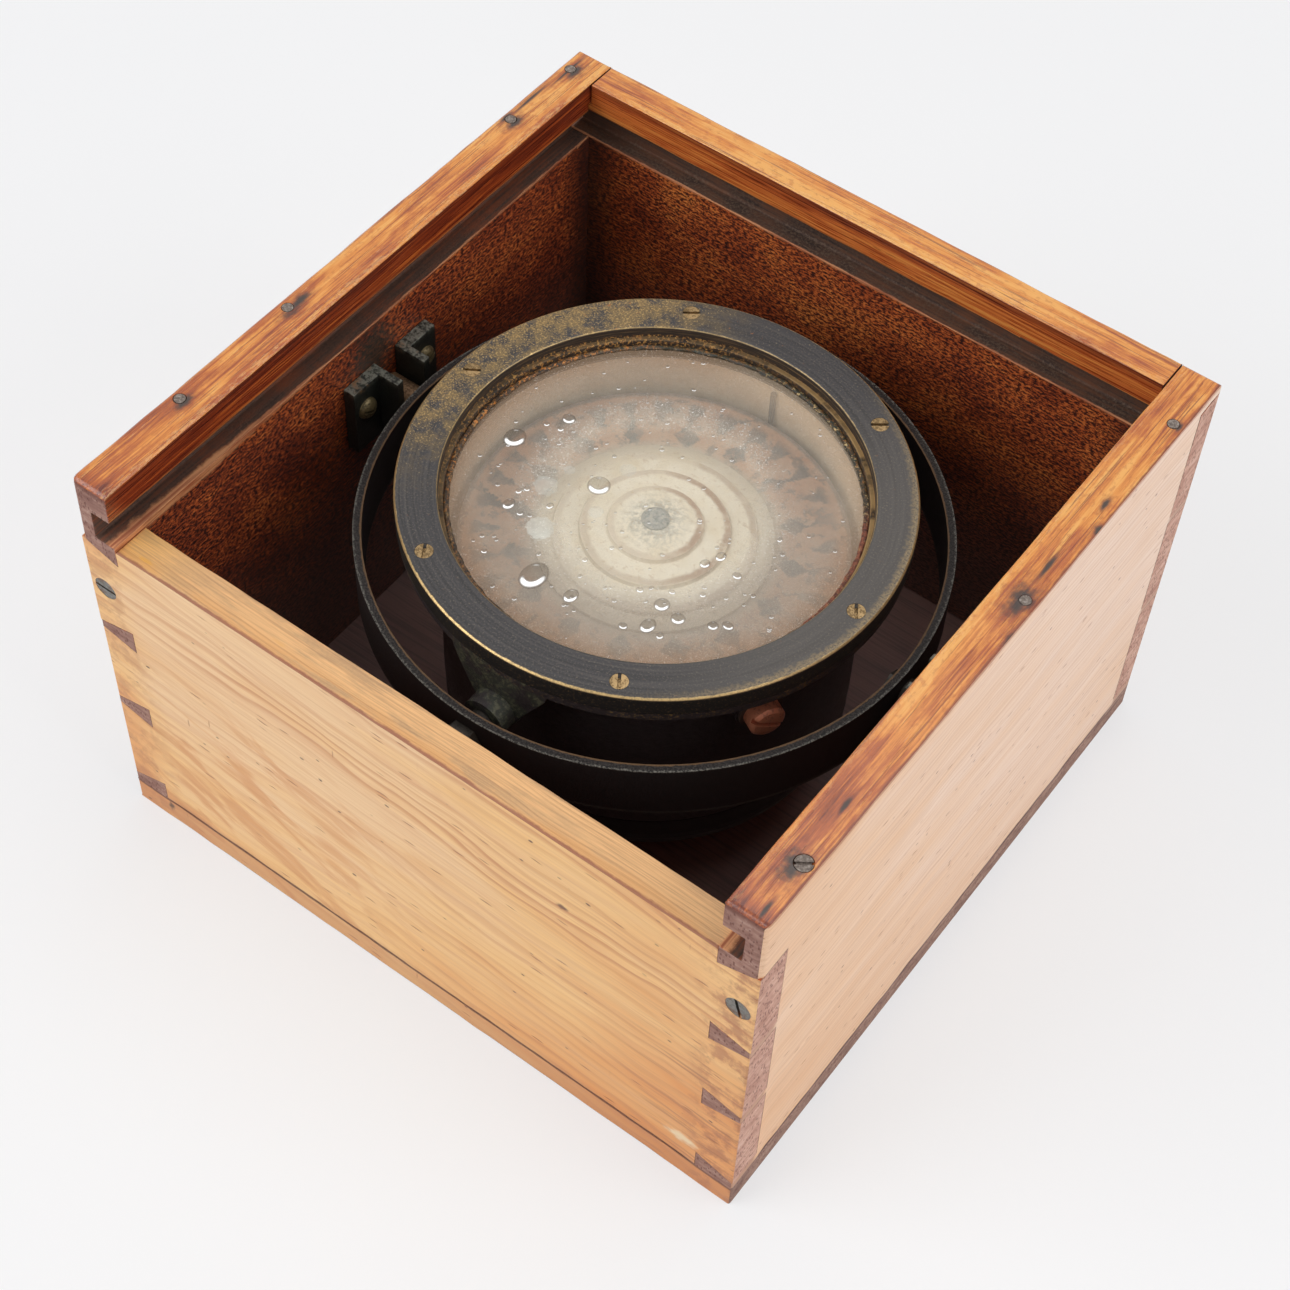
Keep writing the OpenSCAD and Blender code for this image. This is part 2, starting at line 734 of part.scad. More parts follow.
module glass_seal() {
  color("saddlebrown") washer(bowl_in + 0.1, glass_r, seat_z, glass_z);
}

module glass() {
  color("lightcyan", 0.4) translate([0, 0, glass_z]) cylinder(r = glass_r, h = glass_t, $fn = 180);
}

module putty_bead() {
  color("sienna") rotate_extrude($fn = 180) polygon([
    [step_in - putty_w, bezel_z], [step_in - 0.02, bezel_z], [step_in - 0.02, bezel_z + 0.9],
    [step_in - putty_w * 0.5, bezel_z + 0.7], [step_in - putty_w, bezel_z + 0.15]
  ]);
}

module bezel_gasket() {
  color("sienna") difference() {
    washer(rebate_r + 0.1, flange_r, flange_top, bezel_z);
    bezel_screw_holes();
  }
}

module bezel_ring() {
  edge = 0.5;
  color("darkolivegreen") difference() {
    rotate_extrude($fn = 180) polygon([
      [step_in, bezel_z], [bezel_r, bezel_z], [bezel_r, bezel_top - edge], [bezel_r - edge, bezel_top],
      [bezel_in + edge, bezel_top], [bezel_in, bezel_top - edge], [bezel_in, bezel_z + bezel_step_h],
      [step_in + 0.3, bezel_z + bezel_step_h], [step_in, bezel_z + bezel_step_h - 0.3]
    ]);
    bezel_screw_holes();
  }
}

module bezel_screws() {
  color("goldenrod") place_bezel_screws()
    flat_screw(bezel_screw_head, bezel_screw_shank, bezel_screw_len, $turn);
}

module filler_plug() {
  head_h = 5;
  color("sienna") difference() {
    union() {
      along_plug(socket_out + washer_t) rotate_extrude() polygon([
        [0, 0], [plug_head / 2, 0], [plug_head / 2, head_h - 1.2], [plug_head / 2 - 0.9, head_h - 0.3],
        [plug_head / 2 - 2.4, head_h], [0, head_h]
      ]);
      along_plug(bowl_in - 0.5) cylinder(r = plug_bore, h = socket_out + washer_t - bowl_in + 1);
    }
    along_plug(socket_out + washer_t + head_h - 1.8) rotate([0, 0, 62])
      translate([-plug_head, -0.7, 0]) cube([2 * plug_head, 1.4, 3]);
  }
}

module plug_washer() {
  color("gray") along_plug(socket_out) difference() {
    cylinder(r = plug_head / 2 + 1.2, h = washer_t);
    translate([0, 0, -cut]) cylinder(r = plug_bore + hole_fit, h = washer_t + 2 * cut);
  }
}

module compass_card() {
  color("rosybrown") washer(float_r - 4, card_r, card_z, card_top);
}

// The dome's outer outline from its rim up to the hub: a tread, then a riser, for each step
function dome_tread_r(k) = float_r - dome_edge - (k - 1) * dome_step;
function dome_outline() = concat(
  [[float_r, card_top], [float_r, card_top + dome_rim]],
  [for (k = [1 : dome_steps], part = [0, 1])
    [dome_tread_r(k) + 0.5 - 0.5 * part,
     card_top + dome_rim + (k - 1) * dome_rise + (part == 0 ? dome_rise * 0.45 : dome_rise)]],
  [[hub_r, dome_top]]
);

module float_dome() {
  outline = dome_outline();
  count = len(outline);
  color("wheat") rotate_extrude() polygon(concat(
    outline,
    [[stem_r + 0.03, dome_top], [stem_r + 0.03, dome_top - dome_t]],
    [for (i = [count - 1 : -1 : 1]) outline[i] - [i == count - 1 ? 0 : dome_t, dome_t]],
    [[float_r - dome_t, card_top]]
  ));
}

module float_base() {
  color("wheat") washer(stem_r + 0.3, base_r, base_z, card_z);
}

module magnets() {
  color("dimgray") for (side = [-1, 1])
    translate([side * magnet_x - magnet_w / 2, -magnet_len / 2, base_z - magnet_h])
      cube([magnet_w, magnet_len, magnet_h]);
}

module jewel_cap() {
  color("lightsteelblue") difference() {
    rotate_extrude() polygon([
      [0, stem_z], [stem_r, stem_z], [stem_r, dome_top + 0.01], [hub_r, dome_top + 0.01],
      [hub_r, dome_top + 0.5], [hub_r - 1.2, dome_top + 1.3], [0, dome_top + 1.5]
    ]);
    translate([0, 0, stem_z - cut]) cylinder(r = cup_r + 0.02, h = cup_z + cup_h - stem_z + cut);
  }
}

module jewel_cup() {
  color("firebrick") rotate_extrude() polygon([
    [1.6, cup_z], [cup_r, cup_z], [cup_r, cup_z + cup_h], [0, cup_z + cup_h],
    [0, needle_tip], [0.3, needle_tip]
  ]);
}

left_wall();
right_wall();
front_wall();
back_wall();
bottom_board();
front_wall_screws();
top_edge_nails();
top_edge_screw();
bottom_nails();
bracket_left();
bracket_right();
bracket_screws();
gimbal_ring();
trunnion_left();
trunnion_right();
trunnion_nuts();
pivot_screw_front();
pivot_screw_back();
pivot_lock_nuts();
bowl_body();
bowl_bottom();
bottom_screws();
lead_weight();
diaphragm();
pivot_bridge();
bridge_screws();
pivot_post();
pivot_needle();
lubber_line();
glass_seal();
glass();
putty_bead();
bezel_gasket();
bezel_ring();
bezel_screws();
filler_plug();
plug_washer();
compass_card();
float_dome();
float_base();
magnets();
jewel_cap();
jewel_cup();
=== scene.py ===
"""Looks of a gimbal compass in its dovetailed pine box. Meshes are in metres, finishes in millimetres."""
import math
import random

import bpy
from mathutils import Matrix, Vector


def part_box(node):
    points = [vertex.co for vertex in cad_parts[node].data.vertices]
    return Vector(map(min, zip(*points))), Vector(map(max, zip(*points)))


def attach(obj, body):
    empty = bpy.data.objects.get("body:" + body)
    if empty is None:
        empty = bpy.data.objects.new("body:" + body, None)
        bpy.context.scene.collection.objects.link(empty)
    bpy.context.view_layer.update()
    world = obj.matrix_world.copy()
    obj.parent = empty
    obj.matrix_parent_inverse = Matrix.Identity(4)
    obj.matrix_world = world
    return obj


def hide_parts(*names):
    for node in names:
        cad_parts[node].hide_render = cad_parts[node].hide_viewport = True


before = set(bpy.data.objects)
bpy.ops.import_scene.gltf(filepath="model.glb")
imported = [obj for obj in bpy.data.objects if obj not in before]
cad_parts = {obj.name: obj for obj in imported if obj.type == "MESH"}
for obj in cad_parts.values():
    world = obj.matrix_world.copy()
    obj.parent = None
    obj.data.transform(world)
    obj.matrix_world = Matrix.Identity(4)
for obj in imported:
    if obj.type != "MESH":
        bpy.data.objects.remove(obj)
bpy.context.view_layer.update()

MM = 0.001

# Camera, as the photograph's perspective gives it
PHOTO_SIDE = 1290
PHOTO_FOCAL = 2505
SENSOR = 36
EYE = Vector((0.2480, -0.3678, 0.6417))
SIGHT_RIGHT = Vector((0.8022, 0.5962, 0.0328))
SIGHT_UP = Vector((-0.4925, 0.6297, 0.6009))
SIGHT_AHEAD = Vector((-0.3376, 0.4981, -0.7987))

# Sizes that no node's box shows, in mm: the lip over the lid groove, the groove's step up from the front
# wall and its depth in the sides and the back, the widths of bezel and ring, and the bowl's inside
LIP_HIGH = 10.5
GROOVE_STEP = 1.5
SIDE_CUT = 6.5
BACK_CUT = 5.5
BEZEL_WIDE = 11.9
RING_BAND = 2.5
WALL_R = 57.5


def corners(node):
    """The low and the high corner of a model node's box, in mm."""
    return tuple(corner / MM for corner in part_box(node))


# Sizes from the model, in mm
wall_low, wall_high = corners("left_wall")
front_high = corners("front_wall")[1]
bezel_high = corners("bezel_ring")[1]
ring_low, ring_high = corners("gimbal_ring")
washer_low, washer_high = corners("plug_washer")
BOX_X = -wall_low.x
BOX_Y = -wall_low.y
BOX_TOP = wall_high.z
INNER_X = -wall_high.x
INNER_FRONT = front_high.y
INNER_BACK = corners("back_wall")[0].y
FRONT_TOP = front_high.z
BOARD_TOP = corners("bottom_board")[1].z
GROOVE_TOP = BOX_TOP - LIP_HIGH
GROOVE_BOTTOM = FRONT_TOP + GROOVE_STEP
GROOVE_X = INNER_X + SIDE_CUT
GROOVE_Y = INNER_BACK + BACK_CUT
BEZEL_R = bezel_high.x
BEZEL_TOP = bezel_high.z
BEZEL_INNER = BEZEL_R - BEZEL_WIDE
GLASS_TOP = corners("glass")[1].z
RING_R = ring_high.x
RING_TOP = ring_high.z
RING_LOW = ring_low.z
FLANGE_TOP = corners("bowl_body")[1].z
BRACKET_TOP = corners("bracket_left")[1].z
PLUG_FOOT = (washer_low + washer_high) / 2


def in_sight(pixel, axis, level):
    """The point, in mm, that the photograph shows at a pixel, on the plane where an axis is at level."""
    across, down = pixel
    ray = SIGHT_AHEAD * PHOTO_FOCAL
    ray += SIGHT_RIGHT * (across - PHOTO_SIDE / 2)
    ray -= SIGHT_UP * (down - PHOTO_SIDE / 2)
    eye = EYE / MM
    return eye + ray * ((level - eye[axis]) / ray[axis])


# Shader work
class Wire:
    """An output in a node tree. Arithmetic on it adds Math nodes to that tree."""

    def __init__(self, tree, socket):
        self.tree = tree
        self.socket = socket

    def math(self, operation, *others):
        return do_math(self.tree, operation, self, *others)

    def __add__(self, other):
        return self.math("ADD", other)

    def __sub__(self, other):
        return self.math("SUBTRACT", other)

    def __rsub__(self, other):
        return do_math(self.tree, "SUBTRACT", other, self)

    def __mul__(self, other):
        return self.math("MULTIPLY", other)

    def __truediv__(self, other):
        return self.math("DIVIDE", other)

    def __rtruediv__(self, other):
        return do_math(self.tree, "DIVIDE", other, self)

    def __abs__(self):
        return self.math("ABSOLUTE")

    __radd__ = __add__
    __rmul__ = __mul__

    def between(self, low, high):
        """0 at low and 1 at high, eased at both ends. Low may be the larger."""
        node = self.tree.nodes.new("ShaderNodeMapRange")
        node.interpolation_type = "SMOOTHSTEP"
        feed(self.tree, node.inputs["Value"], self)
        feed(self.tree, node.inputs["From Min"], low)
        feed(self.tree, node.inputs["From Max"], high)
        return Wire(self.tree, node.outputs["Result"])

    def near(self, middle, reach, full=0.0):
        """1 within full of the middle, easing to 0 at reach."""
        return abs(self - middle).between(reach, full)

    def clear(self):
        """Held between 0 and 1."""
        return self.math("MAXIMUM", 0.0).math("MINIMUM", 1.0)


def feed(tree, socket, value):
    """Links a wire to a socket, or writes a plain value on it."""
    if isinstance(value, Wire):
        tree.links.new(value.socket, socket)
    elif isinstance(value, (tuple, Vector)) and len(socket.default_value) == 4:
        socket.default_value = (*value, 1.0)
    else:
        socket.default_value = value


def do_math(tree, operation, *values):
    node = tree.nodes.new("ShaderNodeMath")
    node.operation = operation
    for socket, value in zip(node.inputs, values):
        feed(tree, socket, value)
    return Wire(tree, node.outputs[0])


class Bench:
    """Adds the nodes of one tree."""

    def __init__(self, tree):
        self.tree = tree

    def vector(self, operation, first, second=(0.0, 0.0, 0.0)):
        node = self.tree.nodes.new("ShaderNodeVectorMath")
        node.operation = operation
        feed(self.tree, node.inputs[0], first)
        feed(self.tree, node.inputs["Scale" if operation == "SCALE" else 1], second)
        output = "Value" if operation in ("LENGTH", "DISTANCE") else "Vector"
        return Wire(self.tree, node.outputs[output])

    def parts(self, place):
        node = self.tree.nodes.new("ShaderNodeSeparateXYZ")
        feed(self.tree, node.inputs[0], place)
        return tuple(Wire(self.tree, output) for output in node.outputs)

    def point(self, *values):
        node = self.tree.nodes.new("ShaderNodeCombineXYZ")
        for socket, value in zip(node.inputs, values):
            feed(self.tree, socket, value)
        return Wire(self.tree, node.outputs[0])

    def noise(self, place, size=1.0, detail=2.0, rough=0.5, warp=0.0):
        """Cloudy noise round 0.5. Size is a wave's length in the units of place."""
        node = self.tree.nodes.new("ShaderNodeTexNoise")
        feed(self.tree, node.inputs["Vector"], place)
        feed(self.tree, node.inputs["Scale"], 1.0 / size)
        feed(self.tree, node.inputs["Detail"], detail)
        feed(self.tree, node.inputs["Roughness"], rough)
        feed(self.tree, node.inputs["Distortion"], warp)
        return Wire(self.tree, node.outputs[0])

    def cells(self, place):
        """The distance to the nearest seed, with about one seed a unit, and that seed's random number."""
        node = self.tree.nodes.new("ShaderNodeTexVoronoi")
        feed(self.tree, node.inputs["Vector"], place)
        feed(self.tree, node.inputs["Scale"], 1.0)
        shade = self.parts(Wire(self.tree, node.outputs["Color"]))
        return Wire(self.tree, node.outputs["Distance"]), shade[0]

    def mix(self, share, first, second):
        """The first colour at a share of 0 and the second at 1."""
        node = self.tree.nodes.new("ShaderNodeMix")
        node.data_type = "RGBA"
        feed(self.tree, node.inputs[0], share)
        feed(self.tree, node.inputs[6], first)
        feed(self.tree, node.inputs[7], second)
        return Wire(self.tree, node.outputs[2])

    def shades(self, share, *stops):
        """A colour along stops of (place, colour)."""
        node = self.tree.nodes.new("ShaderNodeValToRGB")
        feed(self.tree, node.inputs[0], share)
        elements = node.color_ramp.elements
        while len(elements) < len(stops):
            elements.new(0.5)
        for element, (where, colour) in zip(elements, stops):
            element.position = where
            element.color = (*colour, 1.0)
        return Wire(self.tree, node.outputs[0])

    def use(self, group, *values):
        """Places a node group, feeds its inputs in their order and gives its outputs."""
        node = self.tree.nodes.new("ShaderNodeGroup")
        node.node_tree = group
        for socket, value in zip(node.inputs, values):
            feed(self.tree, socket, value)
        return [Wire(self.tree, output) for output in node.outputs]


class Finish(Bench):
    """One material, with its place on the piece in millimetres."""

    def __init__(self, name):
        self.material = bpy.data.materials.new(name)
        self.material.use_nodes = True
        super().__init__(self.material.node_tree)
        self.tree.nodes.clear()
        place = self.tree.nodes.new("ShaderNodeTexCoord").outputs["Object"]
        self.place = self.vector("SCALE", Wire(self.tree, place), 1 / MM)
        self.x, self.y, self.z = self.parts(self.place)

    def radius(self):
        """The distance from the bowl's upright middle line."""
        return self.vector("LENGTH", self.point(self.x, self.y, 0.0))

    def turn(self):
        """The turn round the bowl's middle line, in degrees from +X."""
        return self.y.math("ARCTAN2", self.x) * (180 / math.pi)

    def facing(self, radius, azimuth, reach, full=0.0):
        """1 in the direction of an azimuth from the bowl's middle, easing to 0 at reach degrees off."""
        bearing, far, close = (math.radians(angle) for angle in (azimuth, reach, full))
        lean = (self.x * math.cos(bearing) + self.y * math.sin(bearing)) / radius
        return lean.between(math.cos(far), math.cos(close))

    def growth(self, place, heart, deep, lean, pitch, waver):
        """The dark lines of the years in a board. The tree's heart lies aside, deep under it, and leans."""
        return self.use(GROWTH, place, heart, deep, lean, pitch, waver)[0]

    def fibre(self, place, length, width):
        """Streaks along the grain, round 0.5."""
        return self.use(FIBRE, place, length, width)[0]

    def flecks(self, place, length, width, share):
        """Short dashes along the grain, at a share of their places."""
        return self.use(FLECKS, place, length, width, share)[0]

    def speckle(self, place, size, share):
        """Specks of about size, the more of them the larger the share."""
        return self.use(SPECKLE, place, size, share)[0]

    def ragged(self, place, distance, reach, rag, size):
        """1 within reach of where distance is 0, with an edge torn by rag in waves of size."""
        return self.use(RAGGED, place, distance, reach, rag, size)[0]

    def stain(self, place, middle, radius, stretch):
        """1 in the middle of a blot, which is longer by stretch along the grain."""
        return self.use(STAIN, place, middle, radius, stretch)[0]

    def tarnish(self, size, share):
        """Specks of tarnish, and the slow cloud that gathers them."""
        return self.use(TARNISH, self.place, size, share)

    def bump(self, height, depth):
        """A normal from a height of 0 to 1 that stands for depth in mm."""
        node = self.tree.nodes.new("ShaderNodeBump")
        feed(self.tree, node.inputs["Height"], height)
        node.inputs["Distance"].default_value = depth * MM
        return Wire(self.tree, node.outputs[0])

    def surface(self, colour, rough, metal=0.0, normal=None, **sockets):
        shader = self.tree.nodes.new("ShaderNodeBsdfPrincipled")
        feed(self.tree, shader.inputs["Base Color"], colour)
        feed(self.tree, shader.inputs["Roughness"], rough)
        feed(self.tree, shader.inputs["Metallic"], metal)
        if normal is not None:
            feed(self.tree, shader.inputs["Normal"], normal)
        for name, value in sockets.items():
            feed(self.tree, shader.inputs[name.replace("_", " ")], value)
        output = self.tree.nodes.new("ShaderNodeOutputMaterial")
        self.tree.links.new(shader.outputs[0], output.inputs["Surface"])
        return self.material


def effect(name, inputs, outputs, build):
    """A node group. Inputs that start as a tuple are vectors, the rest are numbers."""
    group = bpy.data.node_groups.new(name, "ShaderNodeTree")
    for label, start in inputs.items():
        kind = "NodeSocketVector" if isinstance(start, tuple) else "NodeSocketFloat"
        group.interface.new_socket(name=label, in_out="INPUT", socket_type=kind).default_value = start
    for label in outputs:
        group.interface.new_socket(name=label, in_out="OUTPUT", socket_type="NodeSocketFloat")
    start = group.nodes.new("NodeGroupInput")
    end = group.nodes.new("NodeGroupOutput")
    wires = [Wire(group, socket) for socket in start.outputs[: len(inputs)]]
    for socket, value in zip(end.inputs, build(Bench(group), *wires)):
        feed(group, socket, value)
    return group


# Effects. Every place has the grain along X.
def build_growth(b, place, heart, deep, lean, pitch, waver):
    along, across, inward = b.parts(place)
    slow = b.noise(b.point(along / 70, across / 30, inward / 30), 1.0, 2.0)
    fine = b.noise(b.point(along / 18, across / 5, inward / 5), 1.0, 2.0)
    off = across - heart + (slow - 0.5) * waver + (fine - 0.5) * (waver * 0.08)
    down = deep + lean * along
    radius = (off * off + down * down).math("SQRT")
    count = radius / pitch + (slow - 0.5) * 1.3
    turn = count.math("FRACT")
    year = b.noise(b.point(count.math("FLOOR") * 7.31, 0.5, 0.5), 1.0, 0.0)
    line = turn.between(0.4, 0.86) * turn.between(1.0, 0.9)
    return (line * year.between(0.15, 0.7),)


GROWTH = effect(
    "Growth rings",
    {"Place": (0.0, 0.0, 0.0), "Heart": 0.0, "Deep": 20.0, "Lean": 0.1, "Pitch": 3.0, "Waver": 8.0},
    ("Line",),
    build_growth,
)


def build_fibre(b, place, length, width):
    along, across, inward = b.parts(place)
    streak = b.point(along / length, across / width, inward / width)
    return (b.noise(streak, 1.0, 4.0, 0.6),)


FIBRE = effect("Fibre", {"Place": (0.0, 0.0, 0.0), "Length": 30.0, "Width": 0.6}, ("Streak",), build_fibre)


def build_flecks(b, place, length, width, share):
    along, across, inward = b.parts(place)
    bend = b.noise(place, 6.0, 1.0) - 0.5
    spot = b.point(along / length, (across + bend) / width, inward / width)
    distance, chance = b.cells(spot)
    return (distance.between(0.34, 0.16) * chance.between(share, share - 0.01),)


FLECKS = effect(
    "Flecks",
    {"Place": (0.0, 0.0, 0.0), "Length": 5.0, "Width": 1.2, "Share": 0.1},
    ("Mask",),
    build_flecks,
)


def build_speckle(b, place, size, share):
    grain = b.noise(b.vector("SCALE", place, 1.0 / size), 1.0, 3.0, 0.72)
    return (grain.between(share, share - 0.1),)


SPECKLE = effect(
    "Speckle", {"Place": (0.0, 0.0, 0.0), "Size": 1.0, "Share": 0.5}, ("Mask",), build_speckle
)


def build_ragged(b, place, distance, reach, rag, size):
    wave = b.noise(b.vector("SCALE", place, 1.0 / size), 1.0, 4.0, 0.65) - 0.5
    return ((distance + wave * rag).between(reach, reach * 0.5),)


RAGGED = effect(
    "Ragged edge",
    {"Place": (0.0, 0.0, 0.0), "Distance": 0.0, "Reach": 1.0, "Rag": 1.0, "Size": 3.0},
    ("Mask",),
    build_ragged,
)


def build_stain(b, place, middle, radius, stretch):
    off = b.vector("SUBTRACT", place, middle)
    along, across, inward = b.parts(off)
    far = b.vector("LENGTH", b.point(along / stretch, across, inward))
    wave = b.noise(b.point(along / (stretch * 2), across / 2, inward / 2), 1.0, 3.0, 0.6) - 0.5
    return ((far + wave * radius * 1.4).between(radius, radius * 0.25),)


STAIN = effect(
    "Stain",
    {"Place": (0.0, 0.0, 0.0), "Middle": (0.0, 0.0, 0.0), "Radius": 3.0, "Stretch": 1.5},
    ("Mask",),
    build_stain,
)


def build_tarnish(b, place, size, share):
    slow = b.noise(place, 14.0, 3.0, 0.6)
    grain = b.noise(b.vector("SCALE", place, 1.0 / size), 1.0, 4.0, 0.75)
    mixed = grain * 0.72 + slow * 0.28
    return mixed.between(share, share + 0.06), slow


TARNISH = effect(
    "Tarnish", {"Place": (0.0, 0.0, 0.0), "Size": 1.0, "Share": 0.5}, ("Bare", "Cloud"), build_tarnish
)


# Timber finishes. Turned is True where the grain runs along Y.
def grain_place(m, turned):
    """The place with the grain along X, whichever way the board lies."""
    if turned:
        return m.point(m.y, m.z, m.x)
    return m.point(m.x, m.z, m.y)


def on_grain(where, turned):
    """A point in mm, turned as grain_place turns the board."""
    return Vector((where.y, where.z, where.x)) if turned else Vector((where.x, where.z, where.y))


def toned(colour, strength):
    """A colour made lighter or darker, up to full."""
    return tuple(min(1.0, share * strength) for share in colour)


PALE_PINE = (0.89, 0.60, 0.33)
HONEY_PINE = (0.90, 0.56, 0.235)
ORANGE_PINE = (0.76, 0.31, 0.085)
LATEWOOD = (0.54, 0.24, 0.105)
FLECK_BROWN = (0.34, 0.105, 0.04)
KNOT_BROWN = (0.10, 0.028, 0.018)

# Marks on the outside of the front, by their pixel in the photograph, each with a radius in mm
FRONT_KNOT = ((562, 908), 1.5)
RUBBED_SPOT = ((682, 1138), 3.2)
CRACK_SPOT = ((172, 806), 2.6)


def front_face():
    """Planed pine of the front and back: even lines, pale at the upper left, orange at the lower right."""
    m = Finish("Front pine")
    place = grain_place(m, False)
    sloping = m.point(m.x, m.z + m.x * 0.06, m.y)
    growth = m.growth(sloping, heart=-36.0, deep=24.0, lean=0.05, pitch=4.7, waver=13.0)
    thin = m.growth(sloping, heart=-70.0, deep=8.0, lean=0.02, pitch=1.9, waver=6.0)
    fibre = m.fibre(place, 44.0, 0.5)
    bands = m.noise(m.point(m.x / 80, m.z / 4.5, 0.0), 1.0, 3.0, 0.5)
    cloud = m.noise(m.point(m.x / 70, m.z / 15, 0.0), 1.0, 3.0, 0.55)
    right = m.x.between(-40.0, 112.0) * 0.62
    left = m.x.between(-88.0, -108.0) * 0.5
    low = m.z.between(85.0, -5.0) * 0.46
    ripe = (right + left + low + (cloud - 0.5) * 1.1).clear()
    base = m.shades(ripe, (0.0, PALE_PINE), (0.42, HONEY_PINE), (1.0, ORANGE_PINE))
    banded = m.mix(bands.between(0.5, 0.72) * 0.35, base, (0.70, 0.35, 0.17))
    flame = m.noise(m.point(m.x / 34, (m.z + m.x * 0.35) / 9, 0.0), 1.0, 4.0, 0.58, 0.7).between(0.46, 0.64)
    lower_left = m.x.between(20.0, -50.0) * m.z.between(95.0, 60.0)
    flamed = m.mix(flame * (lower_left * 0.6 + 0.14), banded, (0.68, 0.30, 0.105))
    upper_right = m.z.between(35.0, 95.0) * 0.5 + m.x.between(-30.0, 60.0) * 0.35
    distinct = (upper_right + cloud.between(0.4, 0.6) * 0.3).clear()
    lines = m.mix(growth * (distinct * 0.66 + 0.12), flamed, (0.57, 0.22, 0.08))
    finer = m.mix(thin * m.z.between(50.0, 100.0) * 0.22, lines, LATEWOOD)
    streaked = m.mix(fibre.between(0.6, 0.3) * 0.22, finer, LATEWOOD)
    corner = m.x.between(58.0, 100.0) * m.z.between(92.0, 60.0)
    brown_line = m.noise(m.point(m.x / 36, m.z / 1.9, 0.0), 1.0, 3.0, 0.55).between(0.52, 0.68)
    soiled = m.noise(m.place, 9.0, 5.0, 0.66).between(0.46, 0.6) * abs(m.x).between(88.0, 103.0)
    joined = m.mix(soiled * (0.35 + m.x.between(0.0, 1.0) * 0.3), streaked, (0.38, 0.13, 0.055))
    cornered = m.mix(corner * brown_line * 0.6, joined, (0.34, 0.12, 0.05))
    dash = m.flecks(place, 8.5, 1.25, 0.06)
    speck = m.flecks(m.vector("ADD", place, (40.0, 7.0, 3.0)), 3.0, 1.6, 0.016)
    dent = m.flecks(m.point(m.z, m.x, m.y), 7.0, 1.1, 0.007)
    dashed = m.mix((dash + dent).clear() * 0.7, cornered, FLECK_BROWN)
    colour = m.mix(speck * 0.9, dashed, KNOT_BROWN)
    foot = m.ragged(place, m.z, 14.0, 9.0, 12.0)
    colour = m.mix(foot * 0.4, colour, (0.50, 0.20, 0.085))
    seam = m.ragged(place, abs(m.z - BOARD_TOP), 1.0, 1.3, 9.0)
    colour = m.mix(seam * 0.8, colour, (0.13, 0.042, 0.028))
    marks = (
        (FRONT_KNOT, 1.6, KNOT_BROWN),
        (RUBBED_SPOT, 2.2, (0.86, 0.70, 0.46)),
        (CRACK_SPOT, 0.6, (0.06, 0.03, 0.02)),
    )
    for (pixel, radius), stretch, tone in marks:
        middle = on_grain(in_sight(pixel, 1, -BOX_Y), False)
        mark = m.stain(place, middle, radius, stretch)
        colour = m.mix(mark * 0.85, colour, tone)
    rough = 0.5 + (fibre - 0.5) * 0.3
    height = fibre * 0.5 - growth * 0.4 - dash - dent - speck - seam
    return m.surface(colour, rough, normal=m.bump(height, 0.08))


def side_face():
    """Planed pine of the two sides: pinkish cream with a fine straight grain, painted paler towards the back
    end as painted light.
    """
    m = Finish("Side pine")
    place = grain_place(m, True)
    growth = m.growth(place, heart=-60.0, deep=10.0, lean=0.05, pitch=2.6, waver=9.0)
    fibre = m.fibre(place, 38.0, 0.42)
    flecks = m.flecks(place, 5.5, 1.0, 0.07)
    specks = m.flecks(m.vector("ADD", place, (9.0, 30.0, 2.0)), 2.6, 1.3, 0.02)
    cloud = m.noise(m.point(m.y / 70, m.z / 12, 0.0), 1.0, 3.0, 0.6)
    # The back end is painted paler: painted light
    ripe = (m.y.between(60.0, -110.0) * 0.45 + m.z.between(90.0, 0.0) * 0.2 + (cloud - 0.4) * 0.9).clear()
    base = m.shades(ripe, (0.0, (0.91, 0.70, 0.57)), (0.5, (0.87, 0.58, 0.38)), (1.0, (0.78, 0.42, 0.20)))
    lines = m.mix(growth * 0.32, base, (0.62, 0.32, 0.18))
    streaked = m.mix(fibre.between(0.58, 0.3) * 0.5, lines, (0.60, 0.32, 0.17))
    dashed = m.mix(flecks * 0.75, streaked, (0.40, 0.15, 0.06))
    colour = m.mix(specks * 0.8, dashed, (0.24, 0.06, 0.025))
    joint = abs(m.y).between(96.0, 98.5) * m.z.between(GROOVE_BOTTOM - 8.0, GROOVE_BOTTOM - 12.0)
    colour = m.mix(joint * 0.75, colour, (0.40, 0.19, 0.12))
    seam = m.ragged(place, abs(m.z - BOARD_TOP), 1.0, 1.2, 9.0)
    colour = m.mix(seam * 0.8, colour, (0.10, 0.035, 0.025))
    under = m.ragged(place, BOX_TOP - m.z, 1.5, 1.0, 6.0)
    colour = m.mix(under * 0.7, colour, (0.42, 0.14, 0.05))
    height = fibre * 0.6 - flecks - specks - seam
    return m.surface(colour, 0.55 + (fibre - 0.5) * 0.3, normal=m.bump(height, 0.08))


VARNISH_GOLD = (0.87, 0.42, 0.105)
VARNISH_AMBER = (0.76, 0.28, 0.050)
VARNISH_RED = (0.46, 0.11, 0.024)
VARNISH_BLACK = (0.15, 0.028, 0.013)


